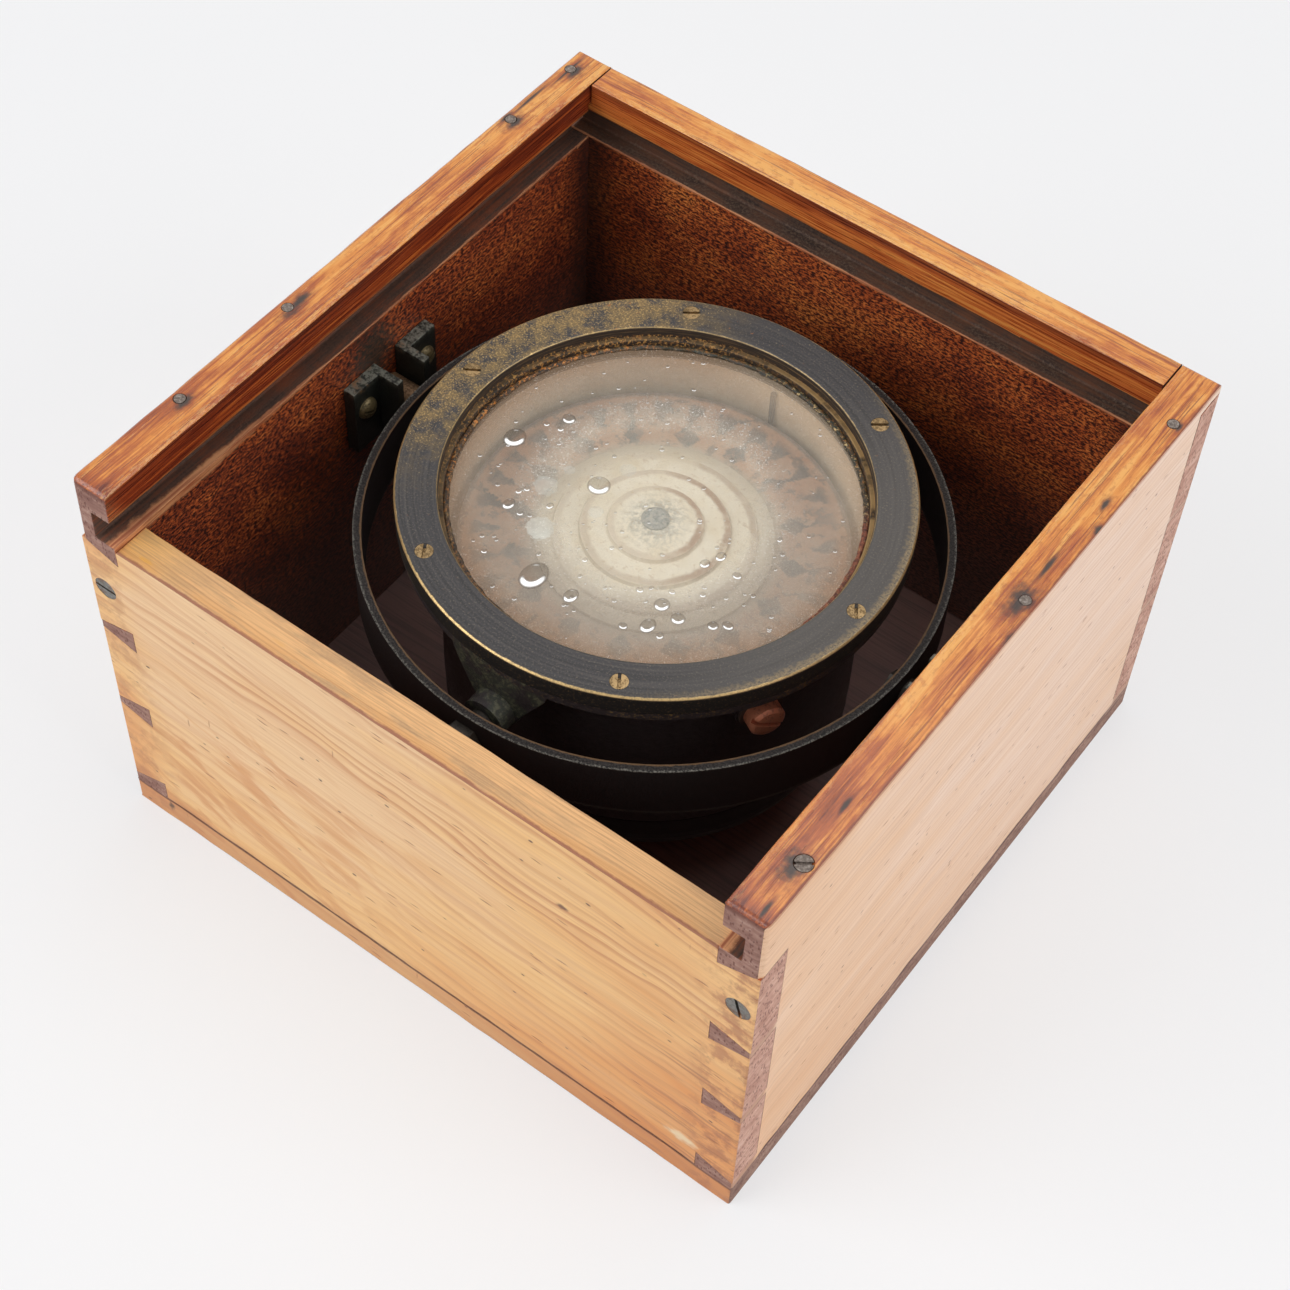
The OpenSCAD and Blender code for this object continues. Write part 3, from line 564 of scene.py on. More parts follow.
def varnished_edge(name, turned, ranges, rubbed, lined, stains=()):
    """Old glossy varnish on a top edge: amber, streaked with red-brown and rubbed pale.

    Ranges are (middle, reach, heaviness) along the edge, where the streaks grow darker.
    """
    m = Finish(name)
    place = grain_place(m, turned)
    inner, outer = (INNER_X, BOX_X) if turned else (INNER_BACK, BOX_Y)
    side = abs(m.x) if turned else m.y
    along, up, across = m.parts(place)
    fibre = m.fibre(place, 22.0, 0.4)
    streaks = m.noise(m.point(along / 34, up / 1.1, across / 1.1), 1.0, 4.0, 0.6, 0.15)
    patches = m.noise(m.point(along / 26, up / 5, across / 5), 1.0, 6.0, 0.66, 0.35)
    depth = streaks * 0.42 + patches * 0.52 + (fibre - 0.5) * 0.26 + 0.022
    for middle, reach, heaviness in ranges:
        depth = depth + along.near(middle, reach, reach * 0.3) * heaviness
    glazed = m.shades(
        depth, (0.39, VARNISH_GOLD), (0.48, VARNISH_AMBER), (0.58, VARNISH_RED), (0.72, VARNISH_BLACK)
    )
    line = m.noise(m.point(along / 30, up / 0.45, across / 0.45), 1.0, 2.0, 0.5, 0.1).between(0.60, 0.66)
    lined_glaze = m.mix(line * 0.7, glazed, (0.26, 0.055, 0.020))
    chips = m.noise(m.point(along / 3.2, up / 0.9, across / 0.9), 1.0, 4.0, 0.7).between(0.50, 0.56)
    rub = m.ragged(place, side - inner, 2.6, 3.4, 3.6) * chips
    mottle = m.noise(m.point(along / 3.5, up / 1.8, across / 1.8), 1.0, 4.0, 0.7).between(0.52, 0.62)
    mottled = m.mix(mottle * 0.4, lined_glaze, VARNISH_RED)
    pale = m.mix(rub * rubbed * 0.6, mottled, (0.86, 0.52, 0.22))
    rim = m.ragged(place, outer - side, 1.2, 1.3, 6.0)
    edged = m.mix(rim * lined, pale, (0.22, 0.050, 0.020))
    scratch = m.flecks(place, 22.0, 0.8, 0.08) * chips
    colour = m.mix(scratch * rubbed * 0.5, edged, (0.90, 0.60, 0.30))
    dark = 0.0
    for middle, radius, stretch in stains:
        where = on_grain(middle, turned)
        halo = m.stain(place, where, radius * 1.7, stretch)
        stain = m.stain(place, where, radius, stretch)
        browned = m.mix(halo * 0.65, colour, (0.27, 0.055, 0.018))
        colour = m.mix(stain * 0.95, browned, (0.028, 0.022, 0.018))
        dark = stain + dark
    gone = (rub * rubbed + scratch * rubbed).clear()
    rough = 0.24 + gone * 0.3 + (patches - 0.5) * 0.25 + dark * 0.15
    height = patches * 0.6 + fibre * 0.3 - gone * 0.6 - line * 0.5
    return m.surface(colour, rough, normal=m.bump(height, 0.15), Coat_Weight=0.3, Coat_Roughness=0.14)


def lip_face(name, turned, stops):
    """Inner face of the lip over the groove: red-brown varnish with long streaks."""
    m = Finish(name)
    place = grain_place(m, turned)
    streak = m.fibre(place, 34.0, 0.5)
    wide = m.fibre(place, 70.0, 2.4)
    fine = m.fibre(place, 7.0, 0.45)
    lit = ((streak - 0.5) * 1.5 + (wide - 0.5) * 0.7 + 0.52 + m.z.between(BOX_TOP, GROOVE_TOP) * 0.1).clear()
    flecked = m.shades(lit, *stops)
    base = m.mix(fine.between(0.60, 0.68) * 0.7, flecked, (0.10, 0.020, 0.010))
    arris = m.z.between(BOX_TOP - 3.2, BOX_TOP - 1.2)
    dark = m.mix(arris * 0.55, base, (0.15, 0.03, 0.014))
    foot = m.ragged(place, m.z - GROOVE_TOP, 1.3, 1.6, 5.0)
    colour = m.mix(foot * 0.5, dark, (0.55, 0.20, 0.05))
    return m.surface(colour, 0.3 + (streak - 0.5) * 0.3, normal=m.bump(streak, 0.14), Coat_Weight=0.2)


# The worn strip under the groove narrows from the front to here, in mm along the wall
STRIP_FRONT = -96.0
STRIP_BACK = -12.0
# Middle of a green-black blot at the left bracket, in mm along the wall and up: grime and painted shade
BRACKET_GRIME_AND_SHADE = (-4.0, 117.0)


def stained_inside(name, turned):
    """Inside of the box: mahogany stain grained with black and orange. It is darker down, partly as painted
    shade, and painted shade darkens the sides and the corners.
    """
    m = Finish(name)
    place = grain_place(m, turned)
    along = m.y if turned else m.x
    fibre = m.fibre(place, 14.0, 0.55)
    grain = m.noise(m.point(along / 2.2, m.z, 0.0), 0.7, 4.0, 0.7)
    cloud = m.noise(place, 24.0, 5.0, 0.64)
    # Lighter up and darker down: partly the stain's own tone, partly painted shade
    tone_and_shade_by_height = (m.z.between(20.0, 120.0) * 0.75 + (cloud - 0.5) * 1.3 + 0.15).clear()
    # The insides of the sides start darker than the front and back: painted shade
    light = 0.36 if turned else 0.45
    depth = (grain - 0.5) * 1.1 + (fibre - 0.5) * 0.8 + (cloud - 0.5) * 0.7 + light + tone_and_shade_by_height * 0.14
    stained = m.shades(
        depth,
        (0.26, (0.11, 0.022, 0.011)), (0.46, (0.30, 0.055, 0.018)),
        (0.64, (0.55, 0.12, 0.030)), (0.86, (0.80, 0.26, 0.060)),
    )
    pits = grain.between(0.53, 0.46)
    base = m.mix(pits * 0.88, stained, (0.020, 0.010, 0.010))
    dusty = m.mix(pits * 0.6, (0.31, 0.19, 0.155), (0.06, 0.04, 0.035))
    faded = m.mix(m.z.between(95.0, 15.0) * 0.8, base, dusty)
    # Painted shade: near black towards the inner corners of the box
    corner = abs(along).between(82.0, 97.0) * (along.between(-10.0, 10.0) if turned else 1.0)
    colour = m.mix(corner * 0.75, faded, (0.022, 0.013, 0.012))
    if turned:
        # Grime and painted shade at the bracket: a green-black blot
        blot_y, blot_z = BRACKET_GRIME_AND_SHADE
        grime = m.stain(place, on_grain(Vector((-INNER_X, blot_y, blot_z)), True), 15.0, 0.9)
        colour = m.mix(grime * 0.85, colour, m.mix(grain, (0.016, 0.018, 0.014), (0.05, 0.05, 0.038)))
    width = 1.1 + m.y.between(STRIP_BACK, STRIP_FRONT) * (3.0 if turned else 0.0)
    drop = (GROOVE_BOTTOM - m.z) / width
    seam = m.ragged(place, drop, 1.0, 1.3, 4.0)
    raw = m.mix(fibre.between(0.35, 0.65), (0.40, 0.11, 0.045), (0.74, 0.34, 0.15))
    worn = m.mix(seam * (0.55 + m.y.between(STRIP_BACK, STRIP_FRONT) * 0.45), colour, raw)
    height = fibre * 0.5 + grain * 0.4
    return m.surface(worn, 0.42 + (grain - 0.5) * 0.6, normal=m.bump(height, 0.14))


def groove_wood(name, turned):
    """The lid groove: near black and dusty, scuffed to bare wood along its lower edge."""
    m = Finish(name)
    place = grain_place(m, turned)
    streak = m.fibre(place, 30.0, 0.9)
    dust = m.noise(m.place, 0.9, 4.0, 0.72)
    patch = m.noise(place, 16.0, 5.0, 0.65)
    rusty = (0.20, 0.055, 0.022) if turned else (0.16, 0.062, 0.030)
    tone = streak * 0.5 + patch * 0.5
    base = m.shades(tone, (0.36, (0.026, 0.015, 0.012)), (0.48, (0.080, 0.040, 0.026)), (0.60, rusty))
    ledge = m.z.between(GROOVE_BOTTOM + 1.2, GROOVE_BOTTOM + 0.2)
    powder = (0.12, 0.058, 0.036) if turned else (0.18, 0.115, 0.078)
    grey = m.mix(dust.between(0.44, 0.64) * (patch.between(0.56, 0.44) * 0.4 + ledge * 0.3), base, powder)
    side = abs(m.x) if turned else m.y
    inner = INNER_X if turned else INNER_BACK
    width = 0.8 + m.y.between(STRIP_BACK, STRIP_FRONT) * (2.6 if turned else 0.0)
    scuff = m.ragged(place, (side - inner) / width, 1.0, 1.3, 4.0)
    raw = m.mix(streak.between(0.35, 0.65), (0.36, 0.10, 0.045), (0.72, 0.33, 0.15))
    colour = m.mix(scuff * ledge, grey, raw)
    return m.surface(colour, 0.8, normal=m.bump(dust + streak * 0.5, 0.14))


def raw_front_top():
    """The bare top of the front wall: tan, with fine lines, grime and a ragged outer edge."""
    m = Finish("Bare front top")
    fibre = m.fibre(m.place, 22.0, 0.4)
    growth = m.growth(m.place, heart=-170.0, deep=6.0, lean=0.06, pitch=1.2, waver=6.0)
    grime = m.noise(m.point(m.x / 30, m.y / 6, 0.0), 1.0, 4.0, 0.6)
    crumbs = m.noise(m.place, 0.8, 3.0, 0.7)
    gold = m.x.between(-70.0, -104.0)
    base = m.mix(gold * 0.8, (0.86, 0.50, 0.225), (0.86, 0.48, 0.13))
    lines = m.mix(growth * 0.5, base, (0.46, 0.21, 0.085))
    streaked = m.mix(fibre.between(0.58, 0.32) * 0.5, lines, (0.46, 0.24, 0.11))
    used = (grime.between(0.46, 0.62) * (0.4 + m.x.near(-15.0, 75.0, 20.0) * 0.4)).clear()
    dirty = m.mix(used * (0.4 + crumbs * 0.6), streaked, (0.38, 0.23, 0.125))
    outside = m.y.between(-BOX_Y + 6.0, -BOX_Y + 1.5)
    warm = m.mix(outside * grime.between(0.62, 0.45) * 0.5, dirty, (0.66, 0.30, 0.09))
    amber = m.flecks(m.place, 9.0, 2.6, 0.09)
    spotted = m.mix(amber * outside * 0.8, warm, (0.78, 0.38, 0.05))
    edge = m.ragged(m.place, m.y + BOX_Y, 1.5, 1.5, 5.0)
    colour = m.mix(edge * 0.8, spotted, (0.27, 0.085, 0.055))
    return m.surface(colour, 0.5, normal=m.bump(fibre - growth * 0.4 - edge, 0.12))


def end_grain(name, turned, light, mid, dark):
    """Sawn ends: mauve grey, with rows of open pores."""
    m = Finish(name)
    across = m.x if turned else m.y
    arcs = m.noise(m.point(across / 14, m.z / 1.3, 0.0), 1.0, 2.0, 0.5, 0.5)
    rings = m.noise(m.point(across / 9, m.z / 3.0, 0.0), 1.0, 3.0, 0.6, 0.4) * 0.55 + arcs * 0.45
    distance, chance = m.cells(m.point(across / 0.75, m.z / 1.5, 0.0))
    pores = distance.between(0.5, 0.22) * chance.between(0.50, 0.43)
    chalk = m.noise(m.place, 1.1, 3.0, 0.7)
    cloud = m.noise(m.place, 6.0, 3.0, 0.6)
    base = m.shades(rings, (0.3, dark), (0.55, mid), (0.75, light))
    chalky = chalk.between(0.5, 0.66) * cloud.between(0.45, 0.6)
    pale = m.mix(chalky * 0.4, base, toned(light, 1.2))
    stained = m.mix(cloud.between(0.5, 0.35) * 0.35, pale, dark)
    colour = m.mix(pores * 0.8, stained, (0.16, 0.05, 0.035))
    upper = m.z.between(BOX_TOP - 3.5, BOX_TOP - 1.0)
    varnished = m.mix(upper * 0.85, colour, (0.12, 0.03, 0.018))
    return m.surface(varnished, 0.7, normal=m.bump(chalk * 0.5 - pores, 0.18))


def floor_inside():
    """The board under the bowl: almost black, with a red-brown cast."""
    m = Finish("Dark floor board")
    fibre = m.fibre(m.place, 40.0, 0.9)
    cloud = m.noise(m.place, 30.0, 3.0, 0.6)
    base = m.shades(cloud, (0.3, (0.22, 0.14, 0.13)), (0.7, (0.33, 0.19, 0.16)))
    streaked = m.mix(fibre.between(0.55, 0.35) * 0.6, base, (0.14, 0.10, 0.095))
    return m.surface(streaked, 0.4, normal=m.bump(fibre, 0.12))


def underside():
    """The worn underside of the bottom board."""
    m = Finish("Worn underside")
    fibre = m.fibre(m.place, 40.0, 0.8)
    growth = m.growth(m.place, heart=10.0, deep=20.0, lean=0.08, pitch=3.4, waver=18.0)
    grime = m.noise(m.place, 26.0, 4.0, 0.65)
    lines = m.mix(growth * 0.5, (0.62, 0.42, 0.25), (0.40, 0.22, 0.11))
    streaked = m.mix(fibre.between(0.6, 0.35) * 0.4, lines, (0.30, 0.17, 0.09))
    colour = m.mix(grime.between(0.45, 0.7) * 0.6, streaked, (0.20, 0.13, 0.08))
    return m.surface(colour, 0.7, normal=m.bump(fibre, 0.15))


# Metal and other finishes
def bezel_bronze():
    """Dark bronze, brushed round, with gold showing at the edges and where hands rubbed it."""
    m = Finish("Bezel bronze")
    radius = m.radius()
    turn = m.turn()
    brushed = m.noise(m.point(radius * 1.6, turn / 40, m.z), 1.0, 3.0, 0.55)
    grain = m.noise(m.place, 0.6, 3.0, 0.75)
    cloud = m.noise(m.place, 6.0, 5.0, 0.75)
    rubbed = m.facing(radius, 160.0, 64.0, 24.0)
    upper = m.facing(radius, 128.0, 42.0, 10.0)
    right = m.facing(radius, 5.0, 70.0, 15.0)
    slate = m.shades(
        brushed, (0.3, (0.030, 0.028, 0.029)), (0.55, (0.050, 0.047, 0.049)), (0.8, (0.090, 0.080, 0.072))
    )
    lighter = m.mix(right * 0.45, slate, (0.14, 0.125, 0.11))
    dusty = m.mix(grain.between(0.50, 0.72) * 0.6, lighter, (0.20, 0.17, 0.135))
    olive = m.mix(cloud.between(0.38, 0.60) * rubbed * 0.75, dusty, (0.22, 0.15, 0.064))
    edgeward = rubbed * radius.between(BEZEL_INNER + 3.0, BEZEL_R - 2.0) * 0.03
    bare = (grain * 0.72 + cloud * 0.28 + edgeward).between(0.62 - rubbed * 0.125, 0.71 - rubbed * 0.11)
    bright_gold = m.mix(grain.between(0.5, 0.7), (0.34, 0.215, 0.080), (0.60, 0.41, 0.18))
    gold = m.mix(bare * (0.3 + rubbed * 0.5), olive, bright_gold)
    rust = m.speckle(m.vector("ADD", m.place, (50.0, 0.0, 0.0)), 1.8, 0.34)
    orange = m.mix(rust * (0.15 + upper * 0.75), gold, (0.46, 0.16, 0.035))
    outer = BEZEL_R - radius
    inner = radius - BEZEL_INNER
    flat = m.z.between(BEZEL_TOP - 0.9, BEZEL_TOP - 0.3)
    rim = m.ragged(m.place, outer, 0.7, 0.8, 2.6)
    lip = m.ragged(m.place, inner, 0.42, 0.4, 3.0)
    wide = m.ragged(m.place, outer, 3.0, 6.0, 1.2) * right
    worn = grain.between(0.36, 0.56)
    edges = (rim * 0.9 + lip * 0.6).clear() * flat * (0.6 + worn * 0.4)
    shine = edges.math("MAXIMUM", wide * flat * worn * 0.3)
    top = m.mix(shine, orange, (0.66, 0.46, 0.20))
    wall = inner.between(0.3, 0.08) * m.z.between(BEZEL_TOP - 0.2, BEZEL_TOP - 0.5)
    faint_line = m.z.near(BEZEL_TOP - 1.7, 0.25, 0.05) * 0.5
    turned_line = m.z.near(GLASS_TOP + 2.4, 0.3, 0.08).math("MAXIMUM", faint_line)
    streak = m.noise(m.point(turn / 8, m.z * 2.0, 0.0), 1.0, 3.0, 0.6)
    brown = m.mix(streak.between(0.45, 0.65), (0.020, 0.013, 0.009), (0.060, 0.034, 0.018))
    low = m.z.between(BEZEL_TOP - 2.6, BEZEL_TOP - 3.4)
    bits = m.speckle(m.place, 1.1, 0.5) * low * (0.25 + upper * 0.3 + rubbed * 0.45)
    crusty = m.mix(bits, brown, m.mix(grain.between(0.4, 0.6), (0.20, 0.075, 0.022), (0.66, 0.36, 0.10)))
    step = m.mix(wall, top, crusty)
    ledge = turned_line * wall * streak.between(0.35, 0.55) * (0.3 + m.facing(radius, 45.0, 60.0, 25.0) * 0.7)
    stepped = m.mix(ledge * 0.8, step, (0.42, 0.26, 0.10))
    side = inner.between(6.0, 8.0) * m.z.between(BEZEL_TOP - 0.6, BEZEL_TOP - 1.2)
    soot = m.mix(grain.between(0.55, 0.7), (0.014, 0.013, 0.012), (0.16, 0.11, 0.05))
    colour = m.mix(side * 0.9, stepped, soot)
    bright = ((shine + bare * rubbed * 0.4) * (1.0 - wall) * (1.0 - side) + ledge * 0.4).clear()
    rough = 0.5 - bright * 0.16 + (grain - 0.5) * 0.2 + wall * 0.25
    height = brushed * 0.4 + bare * 0.3 + grain * 0.4 + bits
    metal = (0.3 + bright * 0.5) * (1.0 - wall * 0.75)
    return m.surface(colour, rough, metal=metal, normal=m.bump(height, 0.03))


def ring_black():
    """The gimbal ring: blackened brass, grey on its top edge, with thin worn lines."""
    m = Finish("Ring black")
    grain = m.noise(m.place, 0.7, 4.0, 0.72)
    upper = m.z.between(RING_TOP - 0.5, RING_TOP - 0.1)
    speck = m.noise(m.place, 0.55, 3.0, 0.75)
    base = m.shades(grain, (0.3, (0.014, 0.012, 0.012)), (0.7, (0.034, 0.028, 0.027)))
    grey = m.mix(upper, base, m.mix(speck.between(0.42, 0.68), (0.008, 0.006, 0.006), (0.060, 0.050, 0.044)))
    across = m.radius() - (RING_R - RING_BAND / 2)
    inner = m.ragged(m.place, across + 1.2, 0.55, 1.0, 1.6)
    crumbs = m.ragged(m.place, 1.2 - across, 0.6, 1.8, 0.9)
    foot = m.ragged(m.place, m.z - RING_LOW, 1.2, 1.2, 2.0)
    worn = m.mix(foot * 0.5, grey, (0.10, 0.10, 0.085))
    dusted = m.mix(crumbs * upper * speck.between(0.4, 0.6) * 0.8, worn, (0.22, 0.21, 0.18))
    colour = m.mix((inner * upper).clear() * 0.5, dusted, (0.26, 0.14, 0.060))
    rough = 0.6 + (grain - 0.5) * 0.5
    normal = m.bump(grain + speck * 0.5, 0.06)
    return m.surface(colour, rough, metal=0.1, normal=normal, Specular_IOR_Level=0.3)


def bowl_black():
    """The bowl: black, with a crust of green and gold near the joint and on the lugs."""
    m = Finish("Bowl black")
    grain = m.noise(m.place, 1.6, 5.0, 0.7)
    base = m.shades(grain, (0.3, (0.024, 0.019, 0.020)), (0.75, (0.060, 0.048, 0.048)))
    specks = m.tarnish(0.8, 0.55)[0]
    joint = m.z.between(FLANGE_TOP - 4.5, FLANGE_TOP - 0.3)
    edged = m.mix(joint * specks * 0.7, base, (0.30, 0.19, 0.06))
    lug = abs(m.x).between(17.0, 12.0) * abs(m.y).between(60.0, 64.0)
    growth = m.noise(m.place, 1.3, 5.0, 0.78)
    lump = m.noise(m.place, 6.0, 3.0, 0.6)
    crumbs = (growth * 0.7 + lump * 0.3).between(0.5, 0.6)
    green = m.mix(lug * lump.between(0.42, 0.56) * 0.8, edged, (0.045, 0.050, 0.036))
    chalk = m.mix(lug * crumbs * 0.75, green, (0.17, 0.165, 0.10))
    inside = m.radius().between(WALL_R + 0.25, WALL_R + 0.1)
    wall = m.mix(grain, (0.82, 0.64, 0.45), (0.93, 0.78, 0.58))
    colour = m.mix(inside, chalk, wall)
    drip = m.stain(m.place, PLUG_FOOT, 7.0, 1.0)
    stained = m.mix(drip * 0.7 * (1.0 - inside), colour, (0.15, 0.055, 0.030))
    rough = 0.4 + specks * joint * 0.4 + (grain - 0.5) * 0.4
    return m.surface(stained, rough, metal=0.15, normal=m.bump(grain * 0.6 + growth * lug, 0.3))


def bracket_bronze():
    """Cast bronze gone black-green, with grey and brown wear on its edges."""
    m = Finish("Bracket bronze")
    grain = m.noise(m.place, 1.4, 5.0, 0.75)
    cloud = m.noise(m.place, 8.0, 2.0)
    base = m.shades(grain, (0.3, (0.010, 0.011, 0.009)), (0.7, (0.030, 0.032, 0.026)))
    top = m.z.between(BRACKET_TOP - 2.2, BRACKET_TOP - 0.4)
    worn = m.mix(top * grain.between(0.38, 0.6) * 0.85, base, (0.11, 0.11, 0.085))
    rim = m.z.between(BRACKET_TOP - 0.7, BRACKET_TOP - 0.2)
    light = m.mix(rim * grain.between(0.45, 0.6) * 0.7, worn, (0.24, 0.24, 0.20))
    brown = m.mix(top * cloud.between(0.52, 0.62) * grain.between(0.48, 0.58), light, (0.24, 0.12, 0.05))
    return m.surface(brown, 0.45 + (grain - 0.5) * 0.5, metal=0.25, normal=m.bump(grain, 0.22))


def brass(name, tone, dull, size=0.9, metal=0.85):
    """Old brass or copper: toned metal under specks of dark tarnish."""
    m = Finish(name)
    specks, cloud = m.tarnish(size, 0.5)
    dark = toned(tone, 0.22)
    base = m.mix(specks * dull, tone, dark)
    aged = m.mix(cloud.between(0.4, 0.7) * 0.4, base, dark)
    return m.surface(aged, 0.36 + specks * 0.25, metal=metal, normal=m.bump(specks, 0.04))


def old_steel():
    """Steel screw and nail heads, grey with brown rust."""
    m = Finish("Old steel")
    grain = m.noise(m.place, 1.0, 4.0, 0.7)
    base = m.shades(grain, (0.3, (0.10, 0.095, 0.085)), (0.7, (0.27, 0.26, 0.24)))
    rust = m.mix(m.noise(m.place, 3.0, 4.0, 0.7).between(0.5, 0.62) * 0.7, base, (0.16, 0.07, 0.03))
    return m.surface(rust, 0.42, metal=0.75, normal=m.bump(grain, 0.06))


def nail_iron():
    """Nail heads, dark and rusty."""
    m = Finish("Nail iron")
    grain = m.noise(m.place, 0.8, 4.0, 0.7)
    base = m.shades(grain, (0.3, (0.06, 0.045, 0.038)), (0.5, (0.19, 0.15, 0.125)), (0.7, (0.42, 0.37, 0.33)))
    return m.surface(base, 0.55, metal=0.2, normal=m.bump(grain, 0.14))


def crust(name, dark, mid, light, size):
    """Grainy putty or corrosion in three tones."""
    m = Finish(name)
    grain = m.noise(m.place, size, 5.0, 0.78)
    spark = m.speckle(m.place, size * 0.7, 0.36)
    base = m.shades(grain, (0.38, dark), (0.52, mid), (0.66, light))
    colour = m.mix(spark * 0.6, base, toned(light, 1.9))
    return m.surface(colour, 0.5, normal=m.bump(grain, 0.3))


def putty_crust():
    """Dried putty round the glass: orange and black at the left, greener towards the back."""
    m = Finish("Dried putty")
    radius = m.radius()
    grain = m.noise(m.place, 0.9, 5.0, 0.78)
    back = m.facing(radius, 85.0, 70.0, 30.0)
    red = m.facing(radius, 8.0, 30.0, 16.0)
    left = m.facing(radius, 170.0, 60.0, 20.0)
    bits = m.speckle(m.place, 1.0, 0.47)
    base = m.shades(
        grain, (0.42, (0.010, 0.008, 0.006)), (0.54, (0.09, 0.042, 0.016)), (0.66, (0.36, 0.18, 0.055))
    )
    orange = m.mix(bits * (0.5 + left * 0.45), base, (0.72, 0.27, 0.055))
    green = m.mix(back * grain.between(0.62, 0.42), orange, (0.028, 0.034, 0.022))
    rusty = m.mix(red * 0.85, green, m.mix(grain.between(0.4, 0.6), (0.09, 0.02, 0.012), (0.36, 0.10, 0.05)))
    inner = radius.between(57.2, 56.7)
    colour = m.mix(inner * (1.0 - red) * (1.0 - left) * 0.75, rusty, (0.012, 0.013, 0.010))
    # Gold crumbs all round, and more towards 62° as painted highlights
    crumb = m.noise(m.place, 1.1, 4.0, 0.75).between(0.56, 0.61)
    glint = m.mix(crumb * (0.25 + m.facing(radius, 62.0, 36.0, 8.0) * 0.7), colour, (0.72, 0.52, 0.24))
    return m.surface(glint, 0.4, normal=m.bump(grain, 0.35))


# Dried spots on the glass, by their pixel in the photograph, each with a radius in mm
MILKY_SPOTS = (((540, 528), 4.3), ((596, 512), 2.3), ((546, 486), 3.8), ((628, 470), 2.6), ((570, 470), 1.8))


def pane_glass():
    """The glass: clear, with a film under it: taupe at the rim, milky in the middle, misted between. Towards
    65° the rim's film is painted lighter and thinner, as painted light.
    """
    m = Finish("Clouded glass")
    radius = m.radius()
    cloud = m.noise(m.place, 11.0, 4.0, 0.65)
    mist = m.noise(m.place, 0.55, 4.0, 0.82)
    beads = m.noise(m.place, 1.5, 3.0, 0.6)
    smear = m.noise(m.place, 4.0, 4.0, 0.7)
    soft = radius + (cloud - 0.5) * 14.0
    rim = (radius + (cloud - 0.5) * 7.0).between(46.0, 57.0)
    # Painted light: the rim's film is lighter and thinner towards 65°
    painted_lit_crescent = m.facing(radius, 65.0, 50.0, 12.0)
    milk = soft.between(38.0, 26.0)
    wet = m.facing(radius, 150.0, 120.0, 50.0) * 0.55 + 0.45
    misted = soft.near(34.0, 8.0, 2.0) * wet * (cloud.between(0.36, 0.52) * 0.7 + 0.3)
    sparkle = mist.between(0.58, 0.66) * (misted * 0.9 + rim * 0.35 + 0.2)
    grey = m.mix(milk, (0.56, 0.49, 0.40), (0.94, 0.87, 0.72))
    tone = m.mix(rim, grey, m.mix(painted_lit_crescent, (0.53, 0.365, 0.24), (0.86, 0.68, 0.49)))
    low = m.facing(radius, 310.0, 110.0, 40.0) * soft.near(41.0, 14.0, 6.0)
    haze = soft.near(42.0, 15.0, 6.0) * (smear * 0.24 + 0.04) + low * 0.16
    film = rim * (0.38 - painted_lit_crescent * 0.12) + milk * 0.10 + misted * (0.04 + smear * 0.22) + haze + 0.05
    for pixel, size in MILKY_SPOTS:
        far = m.vector("DISTANCE", m.place, in_sight(pixel, 2, GLASS_TOP)) + (beads - 0.5) * size * 0.7
        spot = far.between(size, size * 0.8)
        tone = m.mix(spot, tone, (0.80, 0.80, 0.72))
        film = film + spot * 0.13
    dimmed = m.mix(beads.between(0.44, 0.36) * misted * 0.5, tone, (0.36, 0.33, 0.28))
    colour = m.mix(sparkle.clear(), dimmed, (1.0, 1.0, 0.98))
    alpha = (film + sparkle * 0.6 + beads.between(0.46, 0.34) * misted * 0.25).clear()
    return m.surface(colour, 0.12, normal=m.bump(mist * 0.6 + smear, 0.03), Alpha=alpha)


# The points of the card, which stand in an outer ring of all and an inner ring of half of them
CARD_POINTS = 32


